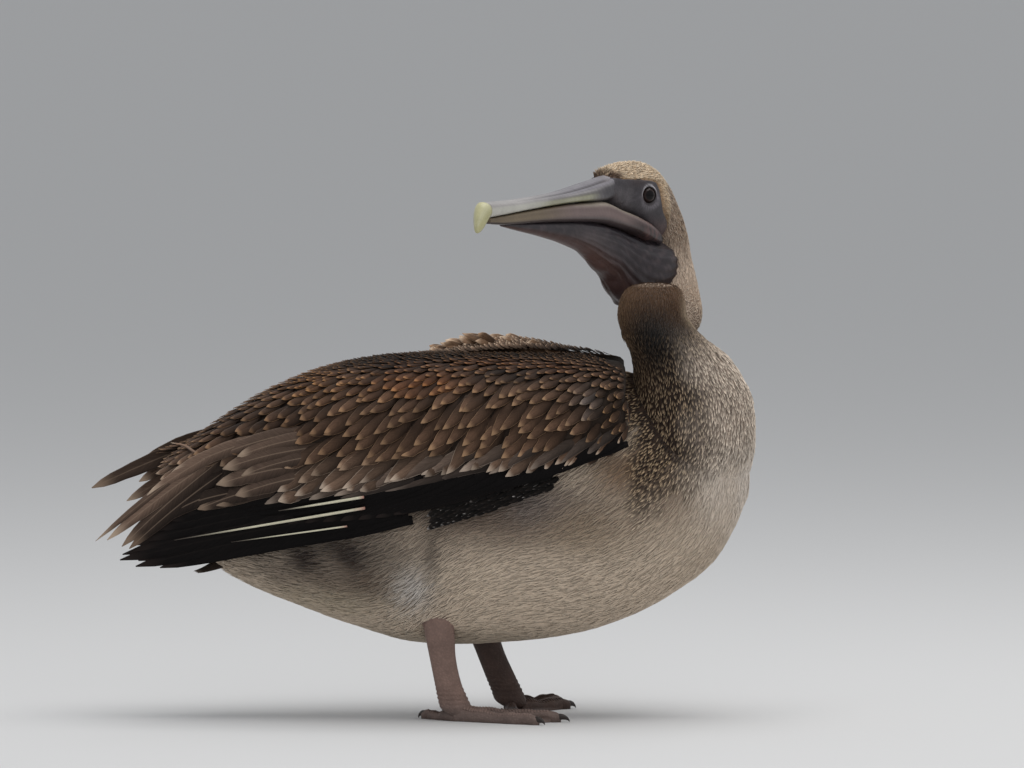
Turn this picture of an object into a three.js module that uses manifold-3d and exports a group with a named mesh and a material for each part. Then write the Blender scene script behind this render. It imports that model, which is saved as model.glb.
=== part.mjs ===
// An immature brown pelican standing at rest, its head turned back over the right shoulder.
// Millimetres, +X towards the breast, +Y towards the bird's left side, +Z up, soles on Z = 0.
import * as THREE from 'three';
import * as BufferGeometryUtils from 'three/addons/utils/BufferGeometryUtils.js';
import Module from 'manifold-3d';

const wasm = await Module();
wasm.setup();

// ---- Driving dimensions ----

const gap = 0.3; // clearance between two pieces that meet
const drawnMiddle = new THREE.Vector3(5, -52.5, 0); // middle of the whole bird, which becomes the origin

// Trunk with its feathers: heights of back and belly, half width and height of the widest place.
const trunkStations = [
  { x: -208, top: 196, bottom: 150, half: 24, widest: 176 },
  { x: -170, top: 240, bottom: 127, half: 46, widest: 180 },
  { x: -122, top: 282, bottom: 106, half: 66, widest: 188 },
  { x: -66, top: 313, bottom: 85, half: 83, widest: 196 },
  { x: -4, top: 331, bottom: 69, half: 93, widest: 202 },
  { x: 74, top: 337, bottom: 69, half: 98, widest: 208 },
  { x: 150, top: 336, bottom: 79, half: 97, widest: 214 },
  { x: 205, top: 328, bottom: 98, half: 90, widest: 220 },
  { x: 250, top: 312, bottom: 124, half: 76, widest: 226 },
  { x: 280, top: 296, bottom: 150, half: 59, widest: 230 },
  { x: 300, top: 278, bottom: 184, half: 38, widest: 234 },
  { x: 312, top: 254, bottom: 216, half: 13, widest: 236 },
];
const trunkRings = 18;
const trunkSides = 22;

// Lower neck, cut level: where each level ring starts and ends along X and along Y.
const lowerNeckLevels = [
  { z: 196, left: 176, right: 290, near: -50, far: 50 },
  { z: 232, left: 186, right: 311, near: -66, far: 62 },
  { z: 266, left: 192, right: 316, near: -82, far: 64 },
  { z: 304, left: 195, right: 313, near: -90, far: 54 },
  { z: 328, left: 197, right: 302, near: -90, far: 38 },
  { z: 348, left: 194, right: 287, near: -88, far: 20 },
  { z: 366, left: 186, right: 265, near: -85, far: 0 },
  { z: 384, left: 181.5, right: 252, near: -82, far: -14 },
  { z: 400, left: 184, right: 249, near: -79, far: -18 },
  { z: 410, left: 190, right: 245, near: -72, far: -24 },
  { z: 415, left: 198, right: 238, near: -63, far: -33 },
  { z: 417.5, left: 209, right: 227, near: -53, far: -45 },
];
const lowerNeckRings = 13;
const neckSides = 16;

// Upper neck: the line through its middle and its radius there.
const upperNeckStations = [
  { x: 219, y: -44, z: 377, r: 27 },
  { x: 228, y: -12, z: 380, r: 27 },
  { x: 240.5, y: 22, z: 382, r: 25 },
  { x: 240.5, y: 48, z: 404, r: 22 },
  { x: 235.5, y: 60, z: 431, r: 20.8 },
  { x: 231, y: 60, z: 455, r: 21 },
  { x: 222, y: 51, z: 477, r: 22.5 },
  { x: 213, y: 38, z: 493, r: 23.5 },
  { x: 205, y: 24, z: 499, r: 22 },
];
const upperNeckRings = 11;

// Head frame: eye-level point on the midline, bill direction as yaw off -Y and slope down.
const headOrigin = new THREE.Vector3(194, 10, 497);
const headYaw = THREE.MathUtils.degToRad(28);
const billSlope = THREE.MathUtils.degToRad(2.8);

// Sections across the head: f forward along the bill, then crown, underside and half width.
const headStations = [
  { f: -55, top: 0, bottom: -22, half: 9, widest: -11 },
  { f: -48, top: 12, bottom: -38, half: 20, widest: -12 },
  { f: -34, top: 24, bottom: -50, half: 27, widest: -12 },
  { f: -16, top: 30, bottom: -42, half: 28, widest: -10 },
  { f: 4, top: 31.5, bottom: -27, half: 24.5, widest: -4 },
  { f: 24, top: 31.5, bottom: -17, half: 20, widest: 2 },
  { f: 40, top: 30, bottom: -9, half: 16.8, widest: 6 },
  { f: 48, top: 27.5, bottom: -3, half: 15.8, widest: 8 },
  { f: 53, top: 20, bottom: 1, half: 14.8, widest: 9 },
  { f: 58, top: 15, bottom: 4, half: 13.4, widest: 9.5 },
];
const headRings = 11;
const headSides = 16;

// Eyes: a ball on each side, its iris looking a little forward.
const eyeRadius = 10.5;
const eyeForward = -2.5;
const eyeOut = 16;
const eyeUp = -0.6;

// Upper bill: f forward, ridge height, cutting edge height and half width.
const upperBillStations = [
  { f: 46, top: 21.4, bottom: 0, half: 12.8 },
  { f: 55, top: 20.6, bottom: -0.6, half: 13.9 },
  { f: 68, top: 19.5, bottom: -1.2, half: 15.2 },
  { f: 100, top: 16.5, bottom: 1.5, half: 14.8 },
  { f: 140, top: 14, bottom: 3, half: 13 },
  { f: 190, top: 13.2, bottom: 3.2, half: 11.4 },
  { f: 236, top: 13.4, bottom: 2.8, half: 10.6 },
  { f: 266, top: 14.4, bottom: 2.2, half: 9.8 },
  { f: 290, top: 15.4, bottom: 2, half: 8.6 },
];
const billNailStations = [
  { f: 290.4, top: 15.8, bottom: 1.6, half: 8.4 },
  { f: 295, top: 16.6, bottom: -4, half: 7.8 },
  { f: 300, top: 13, bottom: -9.5, half: 6.2 },
  { f: 304, top: 6, bottom: -11.5, half: 4 },
  { f: 306.5, top: -2, bottom: -11, half: 2 },
];
// Lower bill: the two jaw rods and the skin band between them.
const lowerBillStations = [
  { f: -40, top: -46, bottom: -50, half: 15 },
  { f: -26, top: -39, bottom: -52, half: 25 },
  { f: -8, top: -28.4, bottom: -46, half: 26 },
  { f: 18, top: -18, bottom: -36, half: 23.2 },
  { f: 44, top: -9.8, bottom: -28.5, half: 19.6 },
  { f: 58, top: -4.4, bottom: -25, half: 17.8 },
  { f: 72, top: -2, bottom: -22, half: 16.4 },
  { f: 100, top: 0.6, bottom: -18.5, half: 15 },
  { f: 140, top: 2.2, bottom: -15, half: 13 },
  { f: 190, top: 2.6, bottom: -11.5, half: 11 },
  { f: 236, top: 2.2, bottom: -9, half: 9.8 },
  { f: 264, top: 1.6, bottom: -7, half: 8.2 },
  { f: 287, top: 1.2, bottom: -4, half: 5 },
];
// Pouch: hangs under the lower bill and runs down the throat.
const pouchStations = [
  { f: -64, top: -62, bottom: -88, half: 14 },
  { f: -56, top: -55, bottom: -94, half: 22 },
  { f: -44, top: -51, bottom: -98, half: 28.5 },
  { f: -28, top: -47, bottom: -103, half: 30 },
  { f: -6, top: -42, bottom: -107, half: 27 },
  { f: 14, top: -36, bottom: -104, half: 22.5 },
  { f: 30, top: -31, bottom: -92, half: 19 },
  { f: 46, top: -27, bottom: -77, half: 17 },
  { f: 66, top: -22, bottom: -66, half: 15 },
  { f: 94, top: -17.5, bottom: -49, half: 13.4 },
  { f: 132, top: -14, bottom: -36.5, half: 11.6 },
  { f: 180, top: -11, bottom: -25, half: 9.6 },
  { f: 226, top: -8, bottom: -15.5, half: 7 },
  { f: 254, top: -6.5, bottom: -9.6, half: 4 },
];
const billSides = 12;
const billRings = 11;

// Folded wing over shoulder and flank: x, highest line, its distance from the midline,
// farthest out and the height of that, then the lower edge.
const wingStations = [
  { x: 198, top: 332, inner: 70, out: 95, widest: 298, low: 268 },
  { x: 191, top: 343, inner: 48, out: 104, widest: 294, low: 256 },
  { x: 174, top: 347, inner: 30, out: 110, widest: 288, low: 249 },
  { x: 140, top: 348, inner: 16, out: 114, widest: 280, low: 243 },
  { x: 100, top: 348, inner: 9, out: 115, widest: 274, low: 226 },
  { x: 50, top: 348, inner: 6, out: 114, widest: 266, low: 212 },
  { x: 0, top: 347, inner: 5, out: 111, widest: 260, low: 206 },
  { x: -50, top: 343, inner: 5, out: 103, widest: 252, low: 202 },
  { x: -100, top: 332, inner: 5, out: 91, widest: 246, low: 199 },
  { x: -150, top: 311, inner: 5, out: 76, widest: 238, low: 204 },
  { x: -190, top: 287, inner: 5, out: 64, widest: 234, low: 212 },
  { x: -218, top: 268, inner: 6, out: 55, widest: 236, low: 222 },
];
const wingThickness = 15;
const wingEdgeShare = 0.34; // thickness at the wing's edges as a share of the middle's
const wingRings = 14;
const wingOuterPoints = 9;
const shoulderShare = 0.55; // share of the wing's ring that rounds the shoulder before it hangs straight
const shoulderBulge = 0.9; // lower values push the shoulder's curve outwards
const backBulge = 0.8; // lower values keep the back high before it falls away
const skirtTuck = 0.05; // how far the hanging edge draws back in, as a share of its distance out
const spineThinning = 3;
// Ruffled shoulder feathers on the left side.
const backTuft = { from: 8, to: 158, rise: 15, middle: 42, spread: 24, fullness: 0.7 };

// Flight feathers below the coverts: upper and lower line, distance out and blade thickness.
const flightStations = [
  { x: 128, top: 250, low: 240, out: 101, thick: 5 },
  { x: 84, top: 238, low: 210, out: 102, thick: 7 },
  { x: 14, top: 228, low: 189, out: 99, thick: 8 },
  { x: -75, top: 222, low: 183, out: 88, thick: 8 },
  { x: -136, top: 220, low: 174, out: 71, thick: 8 },
  { x: -202, top: 212, low: 161, out: 51, thick: 7 },
  { x: -255, top: 190, low: 154, out: 42, thick: 5 },
  { x: -286, top: 168, low: 152, out: 37, thick: 3 },
];
// Long inner feathers over the rump, which carry on where the coverts end.
const tertialStations = [
  { x: -218.3, top: 265, inner: 6, out: 54, widest: 233, low: 216 },
  { x: -250, top: 243, inner: 8, out: 49, widest: 213, low: 192 },
  { x: -282, top: 214, inner: 14, out: 44, widest: 192, low: 176 },
  { x: -306, top: 187, inner: 26, out: 39, widest: 179, low: 171 },
];
const tertialThickness = 6;
const tertialTaper = 0.6; // share of that thickness lost towards the tip
const leftTertialLift = 34; // the left set rides higher on the rump
const tertialRings = 7;
const bladeRings = 9;
const bladeSides = 10;

// Tail: a short fan under the wing tips.
const tailStations = [
  { x: -180, top: 166, bottom: 150, half: 18 },
  { x: -202, top: 159, bottom: 141, half: 24 },
  { x: -216, top: 152, bottom: 135, half: 26 },
  { x: -225, top: 146, bottom: 138, half: 20 },
];
const tailRings = 6;
const tailSides = 16;
const tailBoxy = 0.9;

// Legs: the line down the middle of each, its half depth and half width.
const rightLegStations = [
  { x: 10, y: -50, z: 124, deep: 17, wide: 13 },
  { x: 15, y: -51, z: 84, deep: 14.5, wide: 10 },
  { x: 18, y: -52, z: 60, deep: 12.6, wide: 8.4 },
  { x: 23, y: -52.5, z: 36, deep: 12.8, wide: 8 },
  { x: 28, y: -53, z: 20, deep: 15, wide: 9 },
  { x: 31, y: -53, z: 13.5, deep: 16, wide: 10 },
];
const leftLegStations = [
  { x: 44, y: 50, z: 124, deep: 18, wide: 13 },
  { x: 54, y: 51, z: 84, deep: 15.5, wide: 10 },
  { x: 62, y: 53, z: 60, deep: 13.8, wide: 8.4 },
  { x: 72, y: 54.5, z: 36, deep: 14.4, wide: 8 },
  { x: 79, y: 56, z: 20, deep: 15.6, wide: 9 },
  { x: 82, y: 56, z: 13.5, deep: 16, wide: 10 },
];
const legRings = 9;
const legSides = 12;

// Feet: all four toes are joined by web. Angles are off the middle toe, inwards positive.
const toes = [
  { name: 'inner', angle: 27, length: 70, thick: 6.4, claw: 12 },
  { name: 'middle', angle: 0, length: 100, thick: 7, claw: 14 },
  { name: 'outer', angle: -24, length: 93, thick: 6.4, claw: 12 },
  { name: 'hind', angle: 146, length: 45, thick: 5.4, claw: 10 },
];
const webbedPairs = [[0, 1], [1, 2], [0, 3]]; // the web joins the hind toe to the inner one too
const toeRings = 9;
const toeSides = 8;
const knuckleSwell = 0.2;
const jointsAlongToe = 3;
const toeTaper = 2.2; // millimetres a toe's half thickness loses from ankle to tip
const toeRootSwell = 0.75; // extra height where a toe leaves the ankle
const toeRootFade = 4;
const toeRounding = { from: 0.9, least: 0.12 }; // where a toe starts to round off, and its bluntness
const toeLift = 0.78; // height of a toe's middle line as a share of its half thickness
const soleFrom = -0.5; // below this share of the ring a toe is flat on the ground
const lastJoint = { at: 0.84, spread: 0.09, rise: 3.6 }; // how a toe arches up behind its claw
const webThickness = 2.2;
const webReach = 0.96; // how far along its toes a web is joined to them
const webCurveParts = 5;
const webSag = 0.84; // lower values draw the web's front edge further back between two toes
// Claws: half width at the root and tip, how far the root sits in the toe, how far it sweeps round,
// and the height of its root, its arch and its fall to the ground.
const clawShape = {
  rings: 5, sides: 6, rootHalf: 3.4, tipHalf: 0.35, fade: 0.7, tuck: 5, sweep: 1.35,
  height: 4.6, arch: 1.2, fall: 3.9, narrow: 0.8,
};
const footTurns = { right: -9, left: 62 }; // heading of each middle toe, degrees off +X

// ---- Materials ----

const finish = (colour, roughness) => new THREE.MeshStandardMaterial({
  color: colour,
  roughness,
  metalness: 0,
});
const paleBelly = finish(0xb3a896, 0.9);
const brownNeck = finish(0x6b5642, 0.9);
const paleNeck = finish(0x9c8b74, 0.9);
const brownWing = finish(0x5a4636, 0.85);
const blackQuill = finish(0x1d1916, 0.6);
const greyHorn = finish(0x85817f, 0.45);
const yellowHorn = finish(0xd2cf96, 0.45);
const slateSkin = finish(0x4a4448, 0.55);
const legSkin = finish(0x6d5a54, 0.6);
const darkClaw = finish(0x2c2522, 0.4);
const darkEye = finish(0x17120f, 0.1);

// ---- Helpers ----

// Value of one key at a place along a list of stations, on a smooth curve through them.
function along(stations, axis, key, at) {
  let i = 0;
  const rising = stations[1][axis] > stations[0][axis];
  while (i < stations.length - 2 && (stations[i + 1][axis] < at) === rising) {
    i += 1;
  }
  const slope = (k) => {
    const a = stations[Math.max(k - 1, 0)];
    const b = stations[Math.min(k + 1, stations.length - 1)];
    return (b[key] - a[key]) / (b[axis] - a[axis]);
  };
  const [p, q] = [stations[i], stations[i + 1]];
  const span = q[axis] - p[axis];
  const t = THREE.MathUtils.clamp((at - p[axis]) / span, 0, 1);
  const rise = (3 - 2 * t) * t * t;
  const leave = t * (1 - t) * (1 - t) * span * slope(i);
  const arrive = t * t * (t - 1) * span * slope(i + 1);
  return p[key] + (q[key] - p[key]) * rise + leave + arrive;
}

// Places from first to last, closer together at both ends where a form rounds off.
function places(stations, axis, count) {
  const first = stations[0][axis];
  const last = stations[stations.length - 1][axis];
  return Array.from({ length: count }, (_, i) => {
    const t = i / (count - 1);
    const eased = 0.6 * t + 0.4 * (0.5 - 0.5 * Math.cos(Math.PI * t));
    return first + (last - first) * eased;
  });
}

// A closed skin through rings of equal count, each end filled by a fan to its middle.
function loft(rings) {
  const sides = rings[0].length;
  const points = rings.flat();
  const faces = [];
  for (let i = 0; i < rings.length - 1; i += 1) {
    for (let j = 0; j < sides; j += 1) {
      const a = i * sides + j;
      const b = i * sides + ((j + 1) % sides);
      faces.push(a, b, b + sides, a, b + sides, a + sides);
    }
  }
  for (const end of [0, rings.length - 1]) {
    const middle = new THREE.Vector3();
    rings[end].forEach((p) => middle.addScaledVector(p, 1 / sides));
    const hub = points.push(middle) - 1;
    for (let j = 0; j < sides; j += 1) {
      const a = end * sides + j;
      const b = end * sides + ((j + 1) % sides);
      faces.push(...(end === 0 ? [hub, b, a] : [hub, a, b]));
    }
  }
  const geometry = new THREE.BufferGeometry();
  const numbers = points.flatMap((p) => [p.x, p.y, p.z]);
  geometry.setAttribute('position', new THREE.Float32BufferAttribute(numbers, 3));
  geometry.setIndex(faces);
  return geometry;
}

// Volume inside a closed geometry, negative where its faces point in.
function signedVolume(geometry) {
  const position = geometry.getAttribute('position');
  const corners = [0, 1, 2].map(() => new THREE.Vector3());
  let total = 0;
  for (let i = 0; i < geometry.index.count; i += 3) {
    corners.forEach((corner, k) => corner.fromBufferAttribute(position, geometry.index.getX(i + k)));
    total += corners[0].dot(corners[1].clone().cross(corners[2])) / 6;
  }
  return total;
}

// Turns a closed geometry into a solid that can be joined and cut.
function solid(geometry) {
  const clean = geometry.clone();
  clean.deleteAttribute('normal');
  clean.deleteAttribute('uv');
  const merged = BufferGeometryUtils.mergeVertices(clean, 1e-4);
  if (signedVolume(merged) < 0) {
    const index = merged.index.array;
    for (let i = 0; i < index.length; i += 3) {
      [index[i], index[i + 1]] = [index[i + 1], index[i]];
    }
  }
  return new wasm.Manifold(new wasm.Mesh({
    numProp: 3,
    vertProperties: new Float32Array(merged.getAttribute('position').array),
    triVerts: new Uint32Array(merged.index.array),
  }));
}

// The largest single body of a cut solid, without the slivers that a cut can leave.
function mainBody(form) {
  return form.decompose().sort((a, b) => b.volume() - a.volume())[0];
}

function meshOf(name, form, material) {
  const raw = mainBody(form).getMesh();
  const geometry = new THREE.BufferGeometry();
  geometry.setAttribute('position', new THREE.Float32BufferAttribute(raw.vertProperties, 3));
  geometry.setIndex(Array.from(raw.triVerts));
  geometry.computeVertexNormals();
  const mesh = new THREE.Mesh(geometry, material);
  mesh.name = name;
  return mesh;
}

const group = new THREE.Group();
function add(name, form, material) {
  group.add(meshOf(name, form, material));
}

// An egg-shaped ring: its upper and lower halves meet at the widest height.
function eggAngle(angle, half, top, bottom, widest, boxy) {
  const c = Math.cos(angle);
  const s = Math.sin(angle);
  const up = (c > 0 ? top - widest : widest - bottom) * Math.sign(c) * Math.abs(c) ** boxy;
  return { side: half * Math.sign(s) * Math.abs(s) ** boxy, up: widest + up };
}

// ---- Trunk ----

function trunkForm(extra) {
  const rings = places(trunkStations, 'x', trunkRings).map((x) => {
    const value = (key) => along(trunkStations, 'x', key, x);
    return Array.from({ length: trunkSides }, (_, j) => {
      const angle = (j / trunkSides) * 2 * Math.PI;
      const top = value('top') + extra;
      const bottom = value('bottom') - extra;
      const p = eggAngle(angle, value('half') + extra, top, bottom, value('widest'), 0.92);
      return new THREE.Vector3(x, p.side, p.up);
    });
  });
  rings[0].forEach((p) => p.setX(p.x - extra));
  rings[rings.length - 1].forEach((p) => p.setX(p.x + extra));
  return solid(loft(rings));
}

// ---- Neck ----

function lowerNeckForm(extra) {
  const rings = places(lowerNeckLevels, 'z', lowerNeckRings).map((z) => {
    const value = (key) => along(lowerNeckLevels, 'z', key, z);
    const middle = (low, high) => (value(low) + value(high)) / 2;
    const centre = new THREE.Vector2(middle('left', 'right'), middle('near', 'far'));
    const halfX = (value('right') - value('left')) / 2 + extra;
    const halfY = (value('far') - value('near')) / 2 + extra;
    return Array.from({ length: neckSides }, (_, j) => {
      const angle = (j / neckSides) * 2 * Math.PI;
      return new THREE.Vector3(centre.x + halfX * Math.cos(angle), centre.y + halfY * Math.sin(angle), z);
    });
  });
  rings[rings.length - 1].forEach((p) => p.setZ(p.z + extra));
  return solid(loft(rings));
}

function upperNeckForm(extra) {
  const line = new THREE.CatmullRomCurve3(upperNeckStations.map((s) => new THREE.Vector3(s.x, s.y, s.z)));
  const radii = new THREE.CatmullRomCurve3(upperNeckStations.map((s, i) => new THREE.Vector3(i, s.r, 0)));
  const reference = new THREE.Vector3(1, 0, 0);
  const rings = Array.from({ length: upperNeckRings }, (_, i) => {
    const t = i / (upperNeckRings - 1);
    const tangent = line.getTangent(t);
    const across = reference.clone().addScaledVector(tangent, -tangent.dot(reference)).normalize();
    const other = tangent.clone().cross(across);
    const radius = radii.getPoint(t).y + extra;
    return Array.from({ length: neckSides }, (_, j) => {
      const angle = (j / neckSides) * 2 * Math.PI;
      const p = line.getPoint(t);
      p.addScaledVector(across, radius * Math.cos(angle));
      return p.addScaledVector(other, radius * Math.sin(angle));
    });
  });
  return solid(loft(rings));
}

// ---- Head and bill ----

const billDirection = new THREE.Vector3(
  -Math.sin(headYaw) * Math.cos(billSlope),
  -Math.cos(headYaw) * Math.cos(billSlope),
  -Math.sin(billSlope),
);
const headLeft = new THREE.Vector3(0, 0, 1).cross(billDirection).normalize();
const headUp = billDirection.clone().cross(headLeft);

function headPoint(forward, left, up) {
  const p = headOrigin.clone();
  p.addScaledVector(billDirection, forward);
  p.addScaledVector(headLeft, left);
  return p.addScaledVector(headUp, up);
}

// A form lofted along the bill direction from stations of top, bottom and half width.
function billForm(stations, ringCount, sides, extra, boxy) {
  const rings = places(stations, 'f', ringCount).map((f, i) => {
    const value = (key) => along(stations, 'f', key, f);
    const top = value('top') + extra;
    const bottom = value('bottom') - extra;
    const widest = 'widest' in stations[0] ? value('widest') : (top + bottom) / 2;
    const stretch = i === 0 ? -extra : i === ringCount - 1 ? extra : 0;
    return Array.from({ length: sides }, (_, j) => {
      const angle = ((j + 0.5) / sides) * 2 * Math.PI;
      const p = eggAngle(angle, value('half') + extra, top, bottom, widest, boxy);
      return headPoint(f + stretch, p.side, p.up);
    });
  });
  return solid(loft(rings));
}

function eyeForm(side, extra) {
  const ball = new THREE.SphereGeometry(eyeRadius + extra, 12, 8);
  const centre = headPoint(eyeForward, side * eyeOut, eyeUp);
  ball.translate(centre.x, centre.y, centre.z);
  return solid(ball);
}

// ---- Wings and tail ----

// Extra height of the ruffled shoulder feathers at a place on the left wing.
function tuftRise(x, y) {
  const tuft = (x - backTuft.from) / (backTuft.to - backTuft.from);
  const along01 = THREE.MathUtils.clamp(tuft, 0, 1);
  const across = Math.exp(-(((y - backTuft.middle) / backTuft.spread) ** 2));
  return backTuft.rise * Math.sin(Math.PI * along01) ** backTuft.fullness * across;
}

// Cross-section of a folded wing: an outer arc from the back's midline down to the lower edge,
// and an inner arc that returns inside it.
function wingRing(stations, x, side, thickness, lift) {
  const value = (key) => along(stations, 'x', key, x);
  const outer = [];
  const inner = [];
  for (let i = 0; i < wingOuterPoints; i += 1) {
    const t = i / (wingOuterPoints - 1);
    const shoulder = Math.min(t / shoulderShare, 1);
    const skirt = Math.max((t - shoulderShare) / (1 - shoulderShare), 0);
    const arc = shoulder * (Math.PI / 2);
    const outwards = value('inner') + (value('out') - value('inner')) * Math.sin(arc) ** shoulderBulge;
    const y = outwards - skirt * skirt * value('out') * skirtTuck;
    const level = value('widest') + (value('top') - value('widest')) * Math.cos(arc) ** backBulge;
    const z = level - skirt * (value('widest') - value('low')) + lift;
    const edge = Math.max(skirt, 1 - spineThinning * shoulder);
    const thick = thickness * THREE.MathUtils.lerp(1, wingEdgeShare, edge);
    outer.push(new THREE.Vector3(x, side * y, z + (side > 0 ? tuftRise(x, y) : 0)));
    inner.push(new THREE.Vector3(x, side * (y - thick * Math.sin(arc)), z - thick * Math.cos(arc)));
  }
  return outer.concat(inner.reverse());
}

function wingForm(side) {
  const rings = places(wingStations, 'x', wingRings);
  return solid(loft(rings.map((x) => wingRing(wingStations, x, side, wingThickness, 0))));
}

// The long inner feathers narrow to their tips, and the left ones rise towards them.
function tertialForm(side, tipLift) {
  const first = tertialStations[0].x;
  const last = tertialStations[tertialStations.length - 1].x;
  return solid(loft(places(tertialStations, 'x', tertialRings).map((x) => {
    const t = (x - first) / (last - first);
    const thickness = tertialThickness * (1 - tertialTaper * t);
    return wingRing(tertialStations, x, side, thickness, tipLift * t);
  })));
}

// The flight feathers: a thin upright blade that narrows to its tips.
function flightForm(side, extra) {
  const rings = places(flightStations, 'x', bladeRings).map((x) => {
    const value = (key) => along(flightStations, 'x', key, x);
    const half = (value('top') - value('low')) / 2 + extra;
    const middle = (value('top') + value('low')) / 2;
    const thick = value('thick') / 2 + extra;
    return Array.from({ length: bladeSides }, (_, j) => {
      const angle = (j / bladeSides) * 2 * Math.PI;
      const y = value('out') - value('thick') / 2 + thick * Math.sin(angle);
      return new THREE.Vector3(x, side * y, middle + half * Math.cos(angle));
    });
  });
  return solid(loft(rings));
}

function tailForm() {
  const rings = places(tailStations, 'x', tailRings).map((x) => {
    const value = (key) => along(tailStations, 'x', key, x);
    return Array.from({ length: tailSides }, (_, j) => {
      const angle = (j / tailSides) * 2 * Math.PI;
      const middle = (value('top') + value('bottom')) / 2;
      const p = eggAngle(angle, value('half'), value('top'), value('bottom'), middle, tailBoxy);
      return new THREE.Vector3(x, p.side, p.up);
    });
  });
  return solid(loft(rings));
}

// ---- Legs and feet ----

function legForm(stations, extra) {
  const rings = places(stations, 'z', legRings).map((z) => {
    const value = (key) => along(stations, 'z', key, z);
    return Array.from({ length: legSides }, (_, j) => {
      const angle = (j / legSides) * 2 * Math.PI;
      const x = value('x') + (value('deep') + extra) * Math.cos(angle);
      return new THREE.Vector3(x, value('y') + (value('wide') + extra) * Math.sin(angle), z);
    });
  });
  return solid(loft(rings));
}

// Heading of a toe in the level plane, for one foot.
function toeHeading(toe, side, footTurn) {
  const angle = THREE.MathUtils.degToRad(footTurn - side * toe.angle);
  return new THREE.Vector3(Math.cos(angle), Math.sin(angle), 0);
}

// A toe: a round rod flattened where it lies on the ground, swollen at its joints.
function toeForm(ankle, toe, heading) {
  const across = new THREE.Vector3(-heading.y, heading.x, 0);
  const rings = Array.from({ length: toeRings }, (_, i) => {
    const t = i / (toeRings - 1);
    const swell = 1 + knuckleSwell * Math.cos(t * jointsAlongToe * 2 * Math.PI) * t;
    const half = (toe.thick - toeTaper * t) * swell;
    const ending = Math.max((t - toeRounding.from) / (1 - toeRounding.from), 0);
    const tip = Math.sqrt(Math.max(1 - ending ** 2, toeRounding.least));
    const root = 1 + toeRootSwell * (1 - t) ** toeRootFade;
    return Array.from({ length: toeSides }, (_, j) => {
      const angle = (j / toeSides) * 2 * Math.PI;
      const p = ankle.clone().addScaledVector(heading, t * toe.length);
      p.addScaledVector(across, half * tip * Math.cos(angle));
      const arch = lastJoint.rise * Math.exp(-(((t - lastJoint.at) / lastJoint.spread) ** 2));
      const height = half * toeLift + arch + half * tip * root * Math.sin(angle);
      return p.setZ(Math.sin(angle) < soleFrom ? 0 : Math.max(height, 0));
    });
  });
  return solid(loft(rings));
}

// Web between two toes: a thin level plate whose front edge draws back between their tips.
function webForm(ankle, first, second, firstHeading, secondHeading) {
  const outline = new THREE.Shape();
  const at = (toe, heading, reach) => new THREE.Vector2(
    ankle.x + heading.x * toe.length * reach,
    ankle.y + heading.y * toe.length * reach,
  );
  const start = at(first, firstHeading, webReach);
  const end = at(second, secondHeading, webReach);
  const middle = start.clone().add(end).multiplyScalar(0.5);
  const pull = new THREE.Vector2(ankle.x, ankle.y).lerp(middle, webSag);
  outline.moveTo(ankle.x, ankle.y);
  outline.lineTo(start.x, start.y);
  outline.quadraticCurveTo(pull.x, pull.y, end.x, end.y);
  outline.closePath();
  const plate = { depth: webThickness, bevelEnabled: false, curveSegments: webCurveParts };
  return solid(new THREE.ExtrudeGeometry(outline, plate));
}

// A claw: a short curved cone that comes off the toe's end and bends to the ground.
function clawForm(ankle, toe, heading, extra) {
  const across = new THREE.Vector3(-heading.y, heading.x, 0);
  const rings = Array.from({ length: clawShape.rings }, (_, i) => {
    const t = i / (clawShape.rings - 1);
    const half = (clawShape.rootHalf + extra) * (1 - t) ** clawShape.fade + clawShape.tipHalf;
    const reach = toe.length - clawShape.tuck + toe.claw * Math.sin(t * clawShape.sweep);
    const p0 = ankle.clone().addScaledVector(heading, reach);
    const height = clawShape.height + clawShape.arch * Math.sin(t * Math.PI) - clawShape.fall * t * t;
    return Array.from({ length: clawShape.sides }, (_, j) => {
      const angle = ((j + 0.5) / clawShape.sides) * 2 * Math.PI;
      const p = p0.clone().addScaledVector(across, half * clawShape.narrow * Math.cos(angle));
      return p.setZ(Math.max(height + half * Math.sin(angle), 0));
    });
  });
  return solid(loft(rings));
}

// ---- Assembly ----

const trunkGap = trunkForm(gap);
const lowerNeckGap = lowerNeckForm(gap);

add('trunk', trunkForm(0), paleBelly);
add('neck_lower', lowerNeckForm(0).subtract(trunkGap), brownNeck);

const upperNeck = upperNeckForm(0).subtract(lowerNeckGap).subtract(trunkGap);
const eyesGap = eyeForm(1, gap).add(eyeForm(-1, gap));
const headSolid = billForm(headStations, headRings, headSides, 0, 0.95);
const neckCut = upperNeckForm(gap);
add('neck_upper', upperNeck, paleNeck);

const upperBillGap = billForm(upperBillStations, billRings, billSides, gap, 0.62);
const lowerBillGap = billForm(lowerBillStations, billRings, billSides, gap, 0.62);
const head = headSolid.subtract(neckCut).subtract(eyesGap).subtract(upperBillGap).subtract(lowerBillGap);
const headGap = billForm(headStations, headRings, headSides, gap, 0.95);
add('head', head, paleNeck);
add('eye_left', eyeForm(1, 0), darkEye);
add('eye_right', eyeForm(-1, 0), darkEye);
add('bill_upper', billForm(upperBillStations, billRings, billSides, 0, 0.62), greyHorn);
add('bill_nail', billForm(billNailStations, 7, billSides, 0, 0.9), yellowHorn);

const lowerBill = billForm(lowerBillStations, billRings, billSides, 0, 0.62);
add('bill_lower', lowerBill.subtract(neckCut).subtract(upperBillGap), greyHorn);
const pouch = billForm(pouchStations, 13, billSides, 0, 0.85);
const pouchCut = pouch.subtract(lowerBillGap).subtract(neckCut).subtract(headGap).subtract(lowerNeckGap);
add('pouch', pouchCut, slateSkin);

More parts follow.
